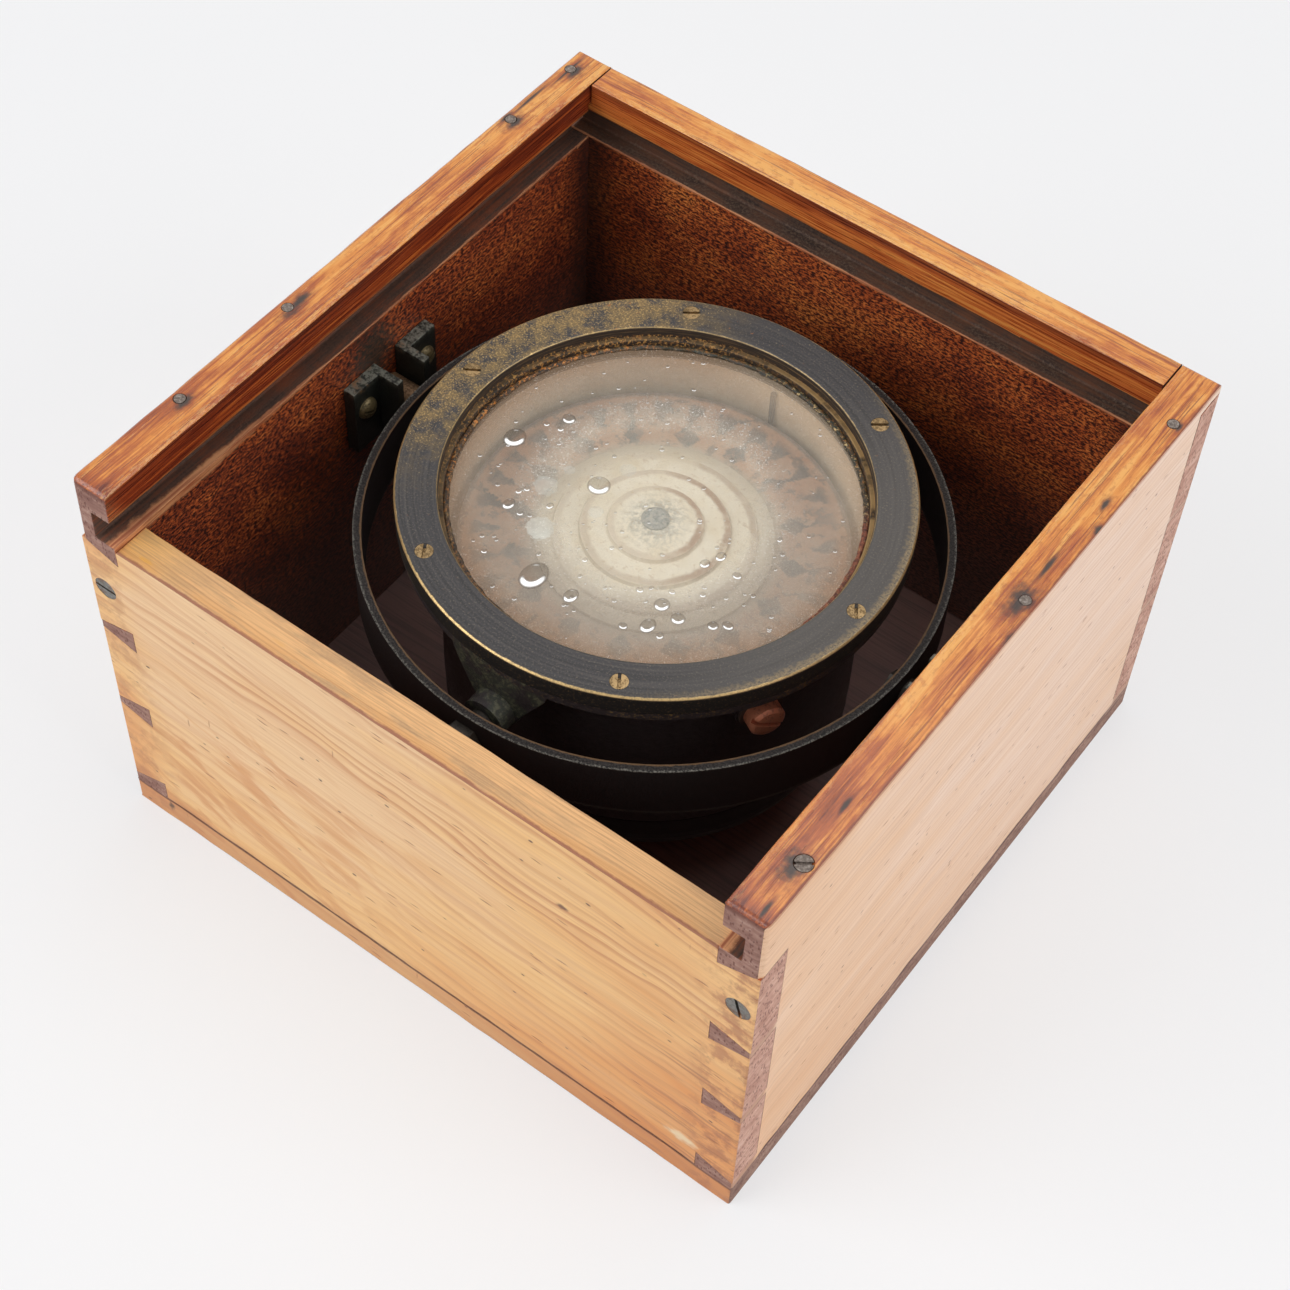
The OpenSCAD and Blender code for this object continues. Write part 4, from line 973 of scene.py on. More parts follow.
def card_paper():
    """The card: a ring of blue-grey points on brown-pink paper, stained by the liquid, with a painted shadow
    round its edge.
    """
    m = Finish("Card paper")
    radius = m.radius()
    turn = m.turn()
    cloud = m.noise(m.place, 8.0, 4.0, 0.65)
    blot = m.noise(m.place, 4.5, 4.0, 0.7)
    grain = m.noise(m.place, 1.4, 4.0, 0.7)
    soft = radius + (grain - 0.5) * 2.4 + (blot - 0.5) * 3.5
    fold = (turn / (360 / CARD_POINTS) + 0.5 + (cloud - 0.5) * 0.8 + (blot - 0.5) * 0.5).math("FRACT") - 0.5
    wedge = abs(fold) - (soft - 42.0) / 9.0 * 0.3
    outer = wedge.between(0.08, -0.08) * soft.between(42.0, 44.0) * soft.between(52.5, 50.0)
    twin = (turn / (720 / CARD_POINTS) + 0.5 + (cloud - 0.5) * 0.3).math("FRACT") - 0.5
    gem = abs(twin) * 4.2 + abs(soft - 39.0) / 4.6
    inner = gem.between(1.2, 0.8)
    ink = (outer + inner).clear() * (0.3 + blot * 1.2) * cloud.between(0.20, 0.50)
    blotted = (ink + blot.between(0.52, 0.64) * 0.7).clear()
    paper = m.shades(cloud, (0.3, (0.54, 0.29, 0.18)), (0.6, (0.64, 0.41, 0.28)), (0.8, (0.54, 0.45, 0.36)))
    inked = m.mix(blotted * 0.9, paper, (0.08, 0.10, 0.12))
    # Painted shadow: the card's outer rim in dark grey
    edge = radius.between(53.2, 54.4)
    edged = m.mix(edge * 0.75, inked, (0.13, 0.14, 0.145))
    glow = soft.between(38.0, 33.0)
    colour = m.mix(glow * 0.85, edged, (0.66, 0.60, 0.49))
    return m.surface(colour, 0.6, normal=m.bump(grain, 0.05))


# Corner radii of the dome's steps, with how brown the mark in each one is, a tide mark with painted shade
DOME_STEPS = ((13.3, 1.0), (20.9, 1.0), (28.5, 0.6))


def float_cream():
    """The float dome: cream lacquer with brown marks in the corners of its steps, tide marks and painted
    shade, strongest towards 35°.
    """
    m = Finish("Cream lacquer")
    radius = m.radius()
    cloud = m.noise(m.place, 11.0, 4.0, 0.6)
    fine = m.noise(m.place, 1.8, 4.0, 0.7)
    colour = m.shades(cloud, (0.3, (0.84, 0.73, 0.53)), (0.55, (0.95, 0.88, 0.72)), (0.8, (0.88, 0.76, 0.54)))
    for corner, strength in DOME_STEPS:
        mark = (radius + (cloud - 0.5) * 2.5 + (fine - 0.5) * 1.2).near(corner - 0.8, 1.8, 0.4)
        # Painted shade: the marks are strongest towards 35°, where the steps' shadows fall
        reach = m.facing(radius, 35.0, 110.0, 30.0)
        tide_mark_and_shade = mark * strength * (0.4 + reach * 0.6) * cloud.between(0.25, 0.55)
        colour = m.mix(tide_mark_and_shade.clear(), colour, (0.36, 0.20, 0.11))
    heart = (radius + (fine - 0.5) * 5.0 + (cloud - 0.5) * 9.0).between(13.0, 2.0)
    smudged = m.mix(heart * fine.between(0.4, 0.6) * 0.85, colour, (0.22, 0.25, 0.25))
    spots = m.mix(fine.between(0.56, 0.66) * 0.5, smudged, (0.54, 0.38, 0.22))
    rim = (radius + (cloud - 0.5) * 5.0).between(28.0, 33.5)
    soft = m.mix(rim * 0.6, spots, (0.56, 0.47, 0.36))
    return m.surface(soft, 0.45, normal=m.bump(fine, 0.05))


def water():
    """Condensed drops: clear, with a painted white highlight along one rim, which also glows, and painted
    shade on the far side.
    """
    m = Finish("Condensed water")
    node = m.tree.nodes.new("ShaderNodeAttribute")
    node.attribute_name = "PaintedGlint"
    glint, painted_dim_side = m.parts(Wire(m.tree, node.outputs["Color"]))[:2]
    colour = m.mix(glint, (0.16, 0.125, 0.09), (0.97, 0.97, 0.96))
    alpha = (glint + painted_dim_side * 0.45 + 0.02).clear()
    # Painted glow: the highlight also shines by itself
    shine = m.mix(glint, (0.0, 0.0, 0.0), (0.5, 0.5, 0.5))
    return m.surface(colour, 0.04, Alpha=alpha, Emission_Color=shine, Emission_Strength=0.7)


def plain_aged(name, tone, rough, metal=0.0):
    """A small or hidden part: its own tone, clouded and grained."""
    m = Finish(name)
    grain = m.noise(m.place, 1.2, 4.0, 0.7)
    cloud = m.noise(m.place, 7.0, 3.0)
    base = m.mix(grain.between(0.35, 0.7) * 0.5, tone, toned(tone, 0.55))
    colour = m.mix(cloud.between(0.45, 0.7) * 0.35, base, toned(tone, 1.35))
    return m.surface(colour, rough, metal=metal, normal=m.bump(grain, 0.05))


# Mesh work
def only(piece):
    """Makes this piece the selected and active one."""
    if bpy.context.object and bpy.context.object.mode != "OBJECT":
        bpy.ops.object.mode_set(mode="OBJECT")
    bpy.ops.object.select_all(action="DESELECT")
    piece.hide_viewport = False
    piece.select_set(True)
    bpy.context.view_layer.objects.active = piece


def apply_all(piece):
    only(piece)
    for modifier in list(piece.modifiers):
        bpy.ops.object.modifier_apply(modifier=modifier.name)


# Corners this near are one, in metres, and faces this near to flat are one, in degrees
MERGED = 2e-6
FLAT = 0.7

# Edges sharper than these, in degrees, keep their crease. Metal is eased where it is sharper than the last.
WOOD_CREASE = 40
METAL_CREASE = 32
CRUST_CREASE = 50
DROP_CREASE = 60
METAL_EASED = 35


def from_model(name, node):
    """A new piece with one model node's shape, its triangles merged into whole faces."""
    piece = bpy.data.objects.new(name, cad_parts[node].data.copy())
    bpy.context.scene.collection.objects.link(piece)
    piece.data.materials.clear()
    only(piece)
    bpy.ops.mesh.customdata_custom_splitnormals_clear()
    bpy.ops.object.mode_set(mode="EDIT")
    bpy.ops.mesh.select_all(action="SELECT")
    bpy.ops.mesh.remove_doubles(threshold=MERGED)
    bpy.ops.mesh.dissolve_limited(angle_limit=math.radians(FLAT))
    bpy.ops.object.mode_set(mode="OBJECT")
    return piece


def even_shading(piece, angle):
    """Smooth shading but across edges sharper than angle, with the large faces kept flat."""
    only(piece)
    bpy.ops.object.shade_smooth_by_angle(angle=math.radians(angle))
    weighted = piece.modifiers.new("Even normals", "WEIGHTED_NORMAL")
    weighted.keep_sharp = True
    weighted.weight = 100
    apply_all(piece)


def coat(piece, finish):
    piece.data.materials.clear()
    piece.data.materials.append(finish)


def seat(piece, body, slot, *nodes):
    """Hands a finished piece over to its body, in place of the nodes it stands for."""
    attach(piece, body)
    if nodes:
        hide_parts(*nodes)


def dress(piece, rules):
    """Gives each face the finish of the first rule that its middle and normal pass."""
    piece.data.materials.clear()
    finishes = []
    for finish, test in rules:
        if finish not in finishes:
            finishes.append(finish)
            piece.data.materials.append(finish)
    for face in piece.data.polygons:
        middle = face.center / MM
        for finish, test in rules:
            if test(middle, face.normal):
                face.material_index = finishes.index(finish)
                break


# Boards of the box, in mm: how round each kind of edge is
END_ROUND = 2.2
TOP_ROUND = 1.4
LIP_ROUND = 0.6
GROOVE_ROUND = 0.48
CORNER_ROUND = 0.7
JOINT_ROUND = 0.16

# How far wear takes their faces in, the share of it where they are jointed, the length of its waves and
# the thickness of the slices that let it waver
WEAR = 0.45
JOINTED_WEAR = 0.2
WEAR_WAVE = 11.0
SLICE = 5.5

# A place this close to a face lies on it
CLOSE = 0.1

# Edges shorter than this, in mm, and bends flatter than this cosine stay unrounded
SHORT_EDGE = 1.4
BEND = 0.7


def edge_round(middle):
    """How round an edge of the box is, by where it lies. All in mm."""
    x, y, z = abs(middle.x), middle.y, middle.z
    at_side = x > BOX_X - CLOSE
    at_front = y < -BOX_Y + CLOSE
    at_end = abs(y) > BOX_Y - CLOSE
    if z > BOX_TOP - CLOSE:
        if at_front:
            return END_ROUND
        return TOP_ROUND if at_side or at_end else LIP_ROUND
    if at_side and at_front and z > FRONT_TOP:
        return END_ROUND
    if at_side and at_end:
        return CORNER_ROUND
    if z < CLOSE and (at_side or at_end):
        return CORNER_ROUND
    if abs(z - FRONT_TOP) < CLOSE and y < INNER_FRONT + CLOSE:
        return LIP_ROUND
    if GROOVE_BOTTOM - CLOSE < z < BOX_TOP and x < GROOVE_X + CLOSE and y < GROOVE_Y + CLOSE:
        return GROOVE_ROUND
    if at_front and z > GROOVE_BOTTOM:
        return LIP_ROUND
    return JOINT_ROUND


def round_board(piece):
    """Rounds a board's edges, each by its own amount."""
    mesh = piece.data
    beside = {}
    for face in mesh.polygons:
        for key in face.edge_keys:
            beside.setdefault(key, []).append(face.normal)
    weights = mesh.attributes.new("bevel_weight_edge", "FLOAT", "EDGE")
    for edge in mesh.edges:
        start, end = (mesh.vertices[i].co / MM for i in edge.vertices)
        normals = beside.get(tuple(sorted(edge.vertices)), [])
        bent = len(normals) == 2 and normals[0].dot(normals[1]) < BEND
        if bent and (end - start).length > SHORT_EDGE:
            weights.data[edge.index].value = edge_round((start + end) / 2) / END_ROUND
    bevel = piece.modifiers.new("Rounded edges", "BEVEL")
    bevel.width = END_ROUND * MM
    bevel.segments = 3
    bevel.limit_method = "WEIGHT"
    bevel.use_clamp_overlap = False
    bevel.miter_outer = "MITER_SHARP"
    apply_all(piece)


def slice_board(piece, axis):
    """Cuts a board across its length so that its edges can waver."""
    only(piece)
    bpy.ops.object.mode_set(mode="EDIT")
    normal = Vector((0, 0, 0))
    normal[axis] = 1
    reach = (BOX_X, BOX_Y)[axis]
    count = int(2 * reach / SLICE)
    for step in range(1, count):
        bpy.ops.mesh.select_all(action="SELECT")
        place = normal * ((-reach + step * 2 * reach / count) * MM)
        bpy.ops.mesh.bisect(plane_co=place, plane_no=normal)
    bpy.ops.object.mode_set(mode="OBJECT")


def waver_board(piece):
    """Wears a board's faces in by a little, in waves, and less where it is jointed."""
    loose = piece.vertex_groups.new(name="Open edges")
    for vertex in piece.data.vertices:
        x, y, z = abs(vertex.co.x), abs(vertex.co.y), vertex.co.z
        jointed = x > (INNER_X - 1) * MM and y > (INNER_BACK - 2) * MM and z < (GROOVE_BOTTOM + 8) * MM
        loose.add([vertex.index], JOINTED_WEAR if jointed else 1.0, "REPLACE")
    texture = bpy.data.textures.new("Edge wear", "CLOUDS")
    texture.noise_scale = WEAR_WAVE * MM
    texture.noise_depth = 2
    waver = piece.modifiers.new("Edge wear", "DISPLACE")
    waver.texture = texture
    waver.texture_coords = "LOCAL"
    waver.vertex_group = "Open edges"
    waver.mid_level = 1.0
    waver.strength = WEAR * MM
    apply_all(piece)
    piece.vertex_groups.clear()


# The finishes of the boards
FRONT_PINE = front_face()
SIDE_PINE = side_face()
END_SIDE = end_grain("Ends of the sides", True, (0.46, 0.31, 0.26), (0.34, 0.18, 0.135), (0.18, 0.07, 0.052))
END_FRONT = end_grain(
    "Ends of the front", False, (0.72, 0.50, 0.41), (0.60, 0.345, 0.26), (0.36, 0.155, 0.105)
)
END_BOTTOM = end_grain(
    "Ends of the bottom", False, (0.48, 0.33, 0.26), (0.33, 0.185, 0.135), (0.14, 0.06, 0.042)
)
LIP_SIDE = lip_face(
    "Lip varnish of the sides", True,
    (
        (0.28, (0.045, 0.008, 0.006)), (0.50, (0.17, 0.025, 0.009)),
        (0.68, (0.36, 0.060, 0.014)), (0.90, (0.66, 0.17, 0.030)),
    ),
)
LIP_BACK = lip_face(
    "Lip varnish of the back", False,
    (
        (0.28, (0.10, 0.020, 0.009)), (0.46, (0.38, 0.072, 0.018)),
        (0.62, (0.62, 0.15, 0.032)), (0.84, (0.80, 0.30, 0.065)),
    ),
)
INSIDE_SIDE = stained_inside("Inside stain of the sides", True)
INSIDE_FRONT = stained_inside("Inside stain of the front and back", False)
GROOVE_SIDE = groove_wood("Groove of the sides", True)
GROOVE_BACK = groove_wood("Groove of the back", False)


# Corners of two heads in a top edge lie at least this far apart, in mm
HEAD_GAP = 8.0


def fastener_stains(node, sign, radius, stretch):
    """A stain round each nail or screw of a node in the left (-1) or right (1) wall's top."""
    heads = []
    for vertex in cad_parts[node].data.vertices:
        place = vertex.co / MM
        known = any((head - place).length < HEAD_GAP for head in heads)
        if place.z > BOX_TOP - 1.0 and place.x * sign > 0 and not known:
            heads.append(place)
    return [(head, radius, stretch) for head in heads]


# Marks burnt or worn into the side tops, by their pixel in the photograph, with a radius in mm and a stretch
LEFT_MARKS = (
    ((530, 99), 0.75, 14.0), ((568, 71), 0.7, 13.0), ((506, 117), 1.3, 2.5), ((300, 300), 2.0, 2.6),
    ((130, 425), 1.2, 4.0),
)
RIGHT_MARKS = (
    ((1020, 600), 4.0, 1.9), ((1048, 566), 1.1, 5.5), ((1098, 530), 1.5, 1.8), ((1105, 504), 1.2, 2.6),
    ((845, 805), 1.1, 3.4), ((765, 910), 1.0, 4.0), ((1010, 640), 1.6, 3.0),
)


def edge_marks(marks):
    return [(in_sight(pixel, 2, BOX_TOP - WEAR / 2), radius, stretch) for pixel, radius, stretch in marks]


# A rounded edge belongs to the face that it curves into for this far, in mm, and a face belongs to an end,
# or to a board's top or underside, from this lean of its normal
ROUNDED = 1.6
END_LEAN = 0.75
FLOOR_LEAN = 0.7


def board_rules(turned, top, lip, inside, groove, ends, face):
    """Which finish each face of a wall takes."""
    cut = GROOVE_X if turned else GROOVE_Y
    outer = BOX_X if turned else BOX_Y

    def outward(middle):
        return abs(middle.x) if turned else middle.y

    def on_top(middle, normal):
        return middle.z > BOX_TOP - ROUNDED and normal.z > 0.35

    def on_end(middle, normal):
        return abs(normal.y if turned else normal.x) > END_LEAN

    def on_outside(middle, normal):
        return outward(middle) > outer - ROUNDED

    def in_groove(middle, normal):
        return GROOVE_BOTTOM - 0.7 < middle.z < GROOVE_TOP + 0.7 and outward(middle) < cut + 0.5

    def on_lip(middle, normal):
        return middle.z >= GROOVE_TOP

    return [
        (top, on_top),
        (ends, on_end),
        (face, on_outside),
        (groove, in_groove),
        (lip, on_lip),
        (inside, lambda middle, normal: True),
    ]


def finish_board(node, slot, axis, rules):
    """A worn copy of a board. Its grain lies along the axis."""
    piece = from_model(node + "_worn", node)
    round_board(piece)
    slice_board(piece, axis)
    waver_board(piece)
    dress(piece, rules)
    even_shading(piece, WOOD_CREASE)
    seat(piece, "box", slot, node)


LEFT_TOP = varnished_edge(
    "Left edge varnish", True, ((-60.0, 90.0, 0.04), (85.0, 40.0, 0.0), (-110.0, 9.0, 0.10)), 0.6, 0.4,
    fastener_stains("top_edge_nails", -1, 2.4, 1.8) + edge_marks(LEFT_MARKS),
)
RIGHT_TOP = varnished_edge(
    "Right edge varnish", True, ((-84.0, 48.0, 0.06), (30.0, 80.0, -0.03), (-110.0, 10.0, 0.12)), 0.3, 0.9,
    fastener_stains("top_edge_nails", 1, 1.4, 1.6) + fastener_stains("top_edge_screw", 1, 4.2, 1.5)
    + edge_marks(RIGHT_MARKS),
)
BACK_TOP = varnished_edge(
    "Back edge varnish", False, ((0.0, 230.0, -0.07), (-94.0, 24.0, 0.10), (80.0, 36.0, 0.05)), 0.4, 0.3,
)

SIDE_FINISHES = (LIP_SIDE, INSIDE_SIDE, GROOVE_SIDE, END_SIDE, SIDE_PINE)
BACK_FINISHES = (LIP_BACK, INSIDE_FRONT, GROOVE_BACK, END_FRONT, FRONT_PINE)
finish_board("left_wall", "pine_left", 1, board_rules(True, LEFT_TOP, *SIDE_FINISHES))
finish_board("right_wall", "pine_right", 1, board_rules(True, RIGHT_TOP, *SIDE_FINISHES))
finish_board("back_wall", "pine_back", 0, board_rules(False, BACK_TOP, *BACK_FINISHES))
finish_board(
    "front_wall", "pine_front", 0,
    [
        (raw_front_top(), lambda middle, normal: middle.z > FRONT_TOP - 1.0 and normal.z > 0.4),
        (END_FRONT, lambda middle, normal: abs(normal.x) > END_LEAN),
        (FRONT_PINE, lambda middle, normal: middle.y < -BOX_Y + 1.5),
        (INSIDE_FRONT, lambda middle, normal: True),
    ],
)
finish_board(
    "bottom_board", "pine_bottom", 0,
    [
        (floor_inside(), lambda middle, normal: normal.z > FLOOR_LEAN),
        (underside(), lambda middle, normal: normal.z < -FLOOR_LEAN),
        (END_BOTTOM, lambda middle, normal: abs(normal.x) > 0.6),
        (FRONT_PINE, lambda middle, normal: True),
    ],
)


# Metal pieces with eased edges
def eased(node, body, slot, finish, width, segments=2):
    """A worn copy of a node, with every sharp edge rounded by width in mm."""
    piece = from_model(node + "_worn", node)
    bevel = piece.modifiers.new("Eased edges", "BEVEL")
    bevel.width = width * MM
    bevel.segments = segments
    bevel.limit_method = "ANGLE"
    bevel.angle_limit = math.radians(METAL_EASED)
    bevel.use_clamp_overlap = True
    apply_all(piece)
    even_shading(piece, METAL_CREASE)
    coat(piece, finish)
    seat(piece, body, slot, node)


BRACKET = bracket_bronze()
SCREW_BRASS = brass("Screw brass", (0.46, 0.31, 0.15), 0.6)
DULL_BRASS = brass("Dull screw brass", (0.20, 0.15, 0.07), 0.7, 1.2, 0.5)
WORN_BRASS = brass("Worn brass", (0.44, 0.26, 0.14), 0.7, 0.9, 0.5)
BLACK_BRASS = brass("Blackened brass", (0.045, 0.036, 0.028), 0.6, 1.2, 0.3)
COPPER = brass("Plug copper", (0.60, 0.21, 0.115), 0.45, 1.6, 0.3)
STEEL = old_steel()
NAIL = nail_iron()

eased("bezel_ring", "bowl", "bezel_bronze", bezel_bronze(), 0.3, 3)
eased("gimbal_ring", "ring", "ring_black", ring_black(), 0.28)
eased("bowl_body", "bowl", "bowl_black", bowl_black(), 0.35)
for side in ("left", "right"):
    eased("bracket_" + side, "box", "dark_bronze", BRACKET, 0.45)
eased("filler_plug", "bowl", "plug_copper", COPPER, 0.3)
eased("plug_washer", "bowl", "seal_rubber", plain_aged("Plug washer", (0.06, 0.035, 0.025), 0.6), 0.12)

# Model nodes that keep their own meshes
KEPT = {
    "front_wall_screws": STEEL,
    "top_edge_nails": NAIL,
    "top_edge_screw": NAIL,
    "bottom_nails": NAIL,
    "bracket_screws": DULL_BRASS,
    "bezel_screws": SCREW_BRASS,
    "trunnion_left": WORN_BRASS,
    "trunnion_right": BLACK_BRASS,
    "trunnion_nuts": BLACK_BRASS,
    "pivot_screw_front": BLACK_BRASS,
    "pivot_screw_back": BLACK_BRASS,
    "pivot_lock_nuts": BLACK_BRASS,
    "bottom_screws": SCREW_BRASS,
    "bridge_screws": SCREW_BRASS,
    "pivot_bridge": WORN_BRASS,
    "pivot_post": WORN_BRASS,
    "bowl_bottom": plain_aged("Cap black", (0.020, 0.018, 0.017), 0.45, 0.2),
    "lead_weight": plain_aged("Lead", (0.16, 0.165, 0.17), 0.5, 0.8),
    "diaphragm": plain_aged("Sprung brass", (0.40, 0.28, 0.14), 0.4, 0.85),
    "glass_seal": plain_aged("Seal rubber", (0.05, 0.035, 0.028), 0.7),
    "lubber_line": plain_aged("Lubber black", (0.05, 0.045, 0.045), 0.5),
    "float_base": plain_aged("Base lacquer", (0.50, 0.42, 0.32), 0.5),
    "magnets": plain_aged("Magnet steel", (0.25, 0.25, 0.26), 0.35, 0.9),
    "pivot_needle": plain_aged("Needle steel", (0.35, 0.35, 0.36), 0.25, 0.95),
    "jewel_cap": crust("Hub grey", (0.14, 0.17, 0.18), (0.33, 0.35, 0.34), (0.48, 0.45, 0.37), 1.3),
    "jewel_cup": plain_aged("Ruby", (0.35, 0.02, 0.04), 0.15),
    "compass_card": card_paper(),
    "float_dome": float_cream(),
    "glass": pane_glass(),
}
for node, finish in KEPT.items():
    coat(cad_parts[node], finish)


# Crusts round the glass and under the bezel
def lumpy_ring(name, radius, width, height, level, steps, lump, depth, inward):
    """A thin ring of crust at a level. Its lumps have a size and a depth, of which a share goes inward."""
    bpy.ops.object.select_all(action="DESELECT")
    bpy.ops.mesh.primitive_torus_add(
        major_segments=steps, minor_segments=10, major_radius=radius * MM, minor_radius=width / 2 * MM,
        location=(0, 0, level * MM),
    )
    piece = bpy.context.object
    piece.name = name
    piece.scale.z = height / width
    bpy.ops.object.transform_apply(location=True, rotation=False, scale=True)
    texture = bpy.data.textures.new(name, "CLOUDS")
    texture.noise_scale = lump * MM
    texture.noise_depth = 3
    texture.noise_type = "HARD_NOISE"
    rough = piece.modifiers.new("Lumps", "DISPLACE")
    rough.texture = texture
    rough.texture_coords = "LOCAL"
    rough.mid_level = inward
    rough.strength = depth * MM
    apply_all(piece)
    bpy.ops.object.shade_smooth_by_angle(angle=math.radians(CRUST_CREASE))
    return piece


putty = lumpy_ring(
    "putty_crust", radius=57.4, width=1.9, height=1.2, level=GLASS_TOP + 0.4, steps=900,
    lump=0.9, depth=1.0, inward=0.45,
)
coat(putty, putty_crust())
seat(putty, "bowl", "putty", "putty_bead")
gasket = lumpy_ring(
    "joint_crust", radius=70.5, width=1.2, height=0.9, level=FLANGE_TOP + 0.25, steps=720,
    lump=4.0, depth=1.2, inward=0.5,
)
coat(gasket, crust("Joint crust", (0.012, 0.010, 0.008), (0.10, 0.055, 0.022), (0.40, 0.26, 0.10), 1.0))
seat(gasket, "bowl", "putty", "bezel_gasket")


# Drops on the glass, by their pixel in the photograph, each with a radius in mm
DROPS = (
    ((515, 438), 3.3), ((569, 419), 1.9), ((599, 486), 3.3), ((509, 504), 1.9), ((534, 576), 4.2),
    ((571, 596), 2.2), ((662, 605), 2.2), ((648, 626), 2.3), ((678, 619), 2.0), ((713, 626), 1.5),
    ((728, 626), 1.5), ((737, 576), 1.3), ((721, 557), 1.6), ((705, 564), 1.5), ((519, 491), 1.0),
    ((527, 489), 0.9), ((520, 513), 1.0), ((550, 506), 1.1), ((484, 551), 0.9), ((561, 429), 1.0),
    ((547, 424), 0.9), ((623, 626), 1.2), ((660, 636), 1.1), ((703, 595), 0.9), ((640, 590), 1.0),
    ((672, 592), 0.9), ((585, 560), 0.8), ((612, 548), 0.7), ((780, 540), 0.8), ((700, 520), 0.7),
)
DROP_FACETS = 32

# The small ones between them, in mm where they are lengths
SMALL_DROPS = 130
SMALL_RADII = (0.28, 0.8)
SMALL_FACETS = 8
WET_RADIUS = 54.0

# How oval and how high drops are, for a radius of 1, and how far they reach into the glass, in mm
OVAL = (0.85, 1.12)
HIGH = (0.36, 0.46)
SUNK = 0.01

# The side of the drops, as an azimuth, towards which their highlight is painted
PAINTED_GLINT_AZIMUTH = math.radians(-58)


def band(reach, middle, width):
    """1 at the middle of a band, falling to 0 at width off it."""
    return max(0.0, 1.0 - abs(reach - middle) / width)


def one_drop(middle, radius, facets, dice):
    """A flat drop on the glass, with a painted highlight on its rim and painted shade on its far side marked
    for its finish.
    """
    bpy.ops.object.select_all(action="DESELECT")
    bpy.ops.mesh.primitive_uv_sphere_add(segments=facets, ring_count=facets * 3 // 4, radius=1.0)
    drop = bpy.context.object
    bpy.ops.object.mode_set(mode="EDIT")
    bpy.ops.mesh.select_all(action="SELECT")
    bpy.ops.mesh.bisect(plane_co=(0, 0, 0.02), plane_no=(0, 0, 1), clear_inner=True, use_fill=True)
    bpy.ops.object.mode_set(mode="OBJECT")
    marks = drop.data.attributes.new("PaintedGlint", "FLOAT_COLOR", "POINT")
    for vertex, mark in zip(drop.data.vertices, marks.data):
        x, y = vertex.co.xy
        reach = math.hypot(x, y)
        lean = (x * math.cos(PAINTED_GLINT_AZIMUTH) + y * math.sin(PAINTED_GLINT_AZIMUTH)) / max(reach, 0.001)
        # Painted highlights: a crescent on the rim towards the azimuth and a spark opposite; painted shade
        # round the edge, most on the far side
        painted_lit_crescent = band(reach, 0.80, 0.20) * min(1.0, max(0.0, lean - 0.15) * 2.0)
        spark = band(reach, 0.62, 0.16) * max(0.0, -lean - 0.86) * 5.0
        painted_dim_edge = band(reach, 0.92, 0.16) * (0.6 - lean * 0.4)
        mark.color = (min(1.0, painted_lit_crescent * 1.9 + spark), min(1.0, painted_dim_edge), 0.0, 1.0)
    width = radius * dice.uniform(*OVAL)
    drop.scale = (width * MM, radius * radius / width * MM, radius * dice.uniform(*HIGH) * MM)
    drop.location = (middle.x * MM, middle.y * MM, (GLASS_TOP - SUNK) * MM)
    bpy.ops.object.transform_apply(location=True, rotation=False, scale=True)
    bpy.ops.object.shade_smooth_by_angle(angle=math.radians(DROP_CREASE))
    return drop


def water_drops():
    """All the drops as one piece: the ones the photograph shows and a scatter of small ones."""
    dice = random.Random(7)
    drops = [one_drop(in_sight(pixel, 2, GLASS_TOP), radius, DROP_FACETS, dice) for pixel, radius in DROPS]
    for small in range(SMALL_DROPS):
        turn = dice.uniform(-math.pi, math.pi)
        reach = WET_RADIUS * math.sqrt(dice.random())
        middle = Vector((reach * math.cos(turn), reach * math.sin(turn), 0))
        drops.append(one_drop(middle, dice.uniform(*SMALL_RADII), SMALL_FACETS, dice))
    bpy.ops.object.select_all(action="DESELECT")
    for drop in drops:
        drop.select_set(True)
    bpy.context.view_layer.objects.active = drops[0]
    bpy.ops.object.join()
    piece = bpy.context.object
    piece.name = "glass_drops"
    coat(piece, water())
    seat(piece, "bowl", "glass")


water_drops()


# Studio, in metres. Each lamp has a place, a size and a power.
LAMPS = (
    ("Key", (-0.9, -1.15, 1.15), (1.3, 1.3), 16),
    ("Fill", (1.4, 0.2, 0.9), (1.2, 1.2), 9.5),
    ("Top", (0.1, 0.4, 1.7), (1.4, 1.0), 5.5),
)
LIT_MIDDLE = Vector((0, 0, 0.08))

# The world lights the object by one strength and is seen at another. Where the floor is seen, part of its
# paper colour gives way to a glow.
WORLD_LIGHT = 0.42
WORLD_SEEN = 0.93
FLOOR_SIDE = 8
FLOOR_GLOW = (0.555, 0.555, 0.560)
GLOW_SHARE = 0.6


def add_camera():
    data = bpy.data.cameras.new("Camera")
    data.sensor_width = SENSOR
    data.lens = PHOTO_FOCAL / PHOTO_SIDE * SENSOR
    data.clip_start = 0.01
    camera = bpy.data.objects.new("Camera", data)
    axes = Matrix((SIGHT_RIGHT, SIGHT_UP, -SIGHT_AHEAD)).transposed()
    camera.matrix_world = Matrix.Translation(EYE) @ axes.to_4x4()
    bpy.context.scene.collection.objects.link(camera)
    bpy.context.scene.camera = camera


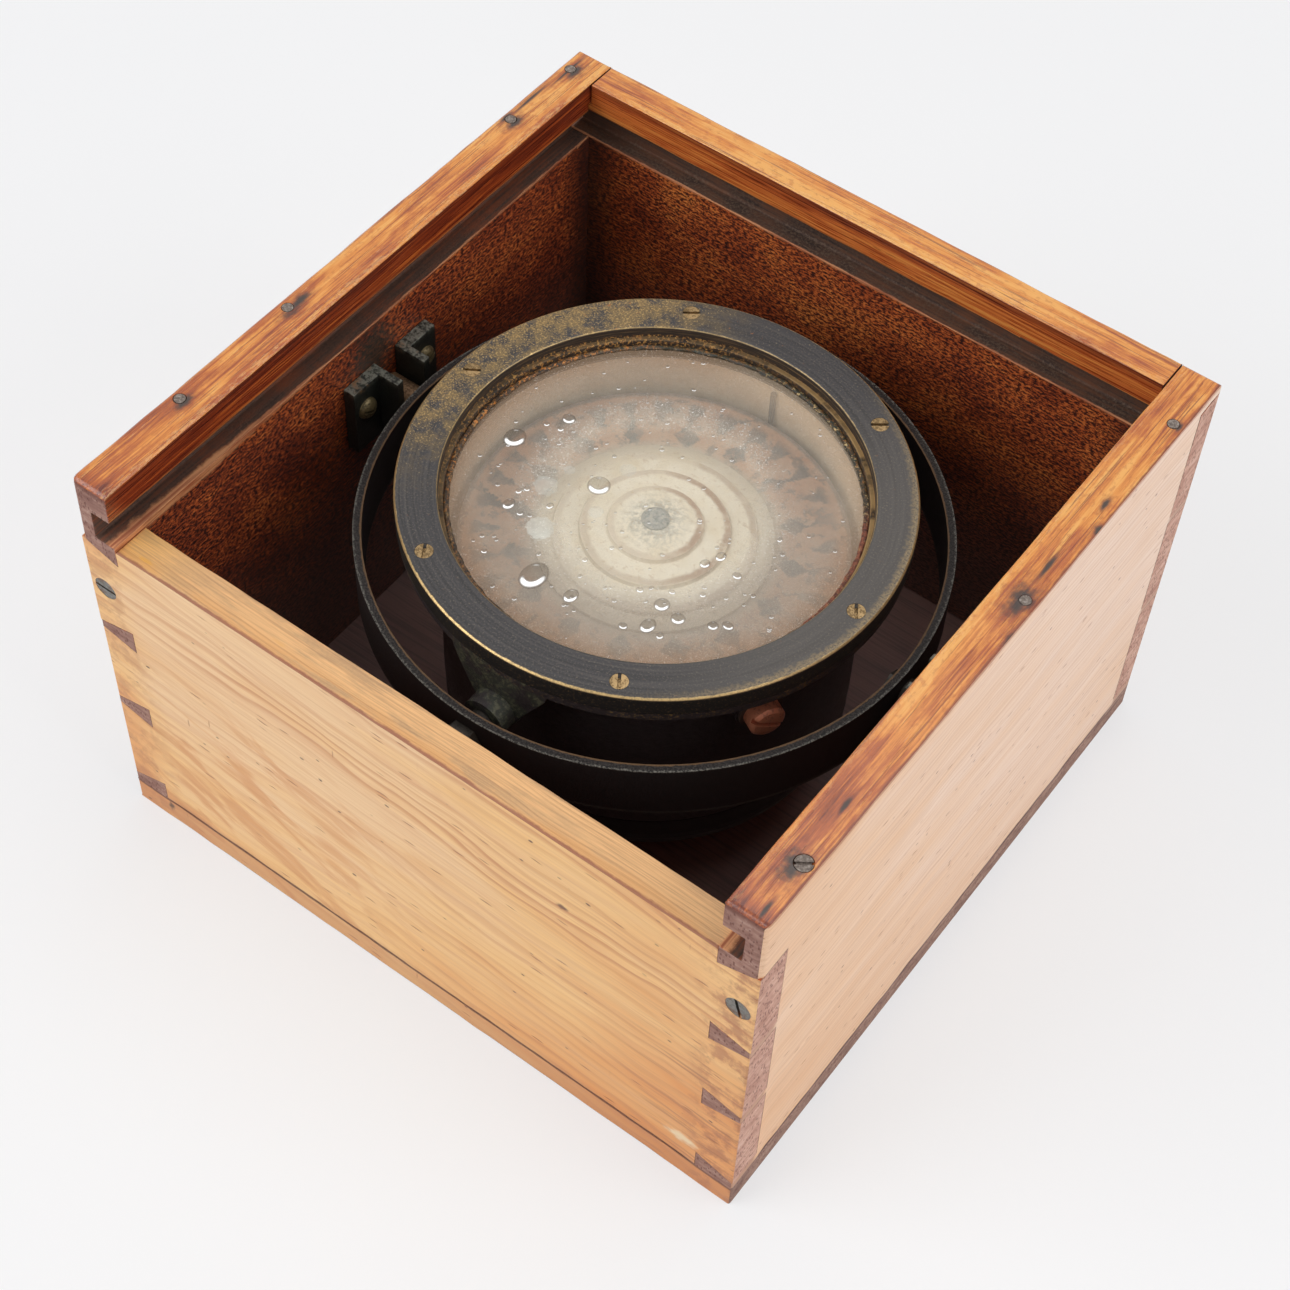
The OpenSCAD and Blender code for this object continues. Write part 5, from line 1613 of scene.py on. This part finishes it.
def add_lamp(name, place, size, power):
    """A soft box that faces the compass."""
    data = bpy.data.lights.new(name, "AREA")
    data.shape = "RECTANGLE"
    data.size, data.size_y = size
    data.energy = power
    lamp = bpy.data.objects.new(name, data)
    lamp.location = place
    aim = LIT_MIDDLE - Vector(place)
    lamp.rotation_euler = aim.to_track_quat("-Z", "Y").to_euler()
    bpy.context.scene.collection.objects.link(lamp)


def on_show(b):
    """1 for the rays that show the background: those of the camera, of gloss and through glass."""
    path = b.tree.nodes.new("ShaderNodeLightPath")
    rays = ("Is Camera Ray", "Is Glossy Ray", "Is Transmission Ray")
    camera, glossy, through = (Wire(b.tree, path.outputs[ray]) for ray in rays)
    return (camera + glossy + through).clear()


def add_floor():
    bpy.ops.object.select_all(action="DESELECT")
    bpy.ops.mesh.primitive_plane_add(size=FLOOR_SIDE)
    floor = bpy.context.object
    floor.name = "floor"
    m = Finish("Studio paper")
    seen = on_show(m)
    cloud = m.noise(m.place, 300.0, 2.0)
    paper = m.mix(cloud, (0.88, 0.89, 0.91), (0.91, 0.915, 0.93))
    colour = m.mix(seen * GLOW_SHARE, paper, (0.0, 0.0, 0.0))
    glow = m.mix(seen, (0.0, 0.0, 0.0), FLOOR_GLOW)
    coat(floor, m.surface(colour, 0.7, Emission_Color=glow, Emission_Strength=1.0, Specular_IOR_Level=0.1))


def add_world():
    world = bpy.data.worlds.new("Studio")
    bpy.context.scene.world = world
    world.use_nodes = True
    b = Bench(world.node_tree)
    b.tree.nodes.clear()
    sky = b.tree.nodes.new("ShaderNodeBackground")
    feed(b.tree, sky.inputs["Color"], (1.0, 1.0, 1.0))
    feed(b.tree, sky.inputs["Strength"], WORLD_LIGHT + on_show(b) * (WORLD_SEEN - WORLD_LIGHT))
    output = b.tree.nodes.new("ShaderNodeOutputWorld")
    b.tree.links.new(sky.outputs[0], output.inputs["Surface"])


add_camera()
for lamp in LAMPS:
    add_lamp(*lamp)
add_floor()
add_world()
bpy.context.scene.view_settings.view_transform = "Standard"
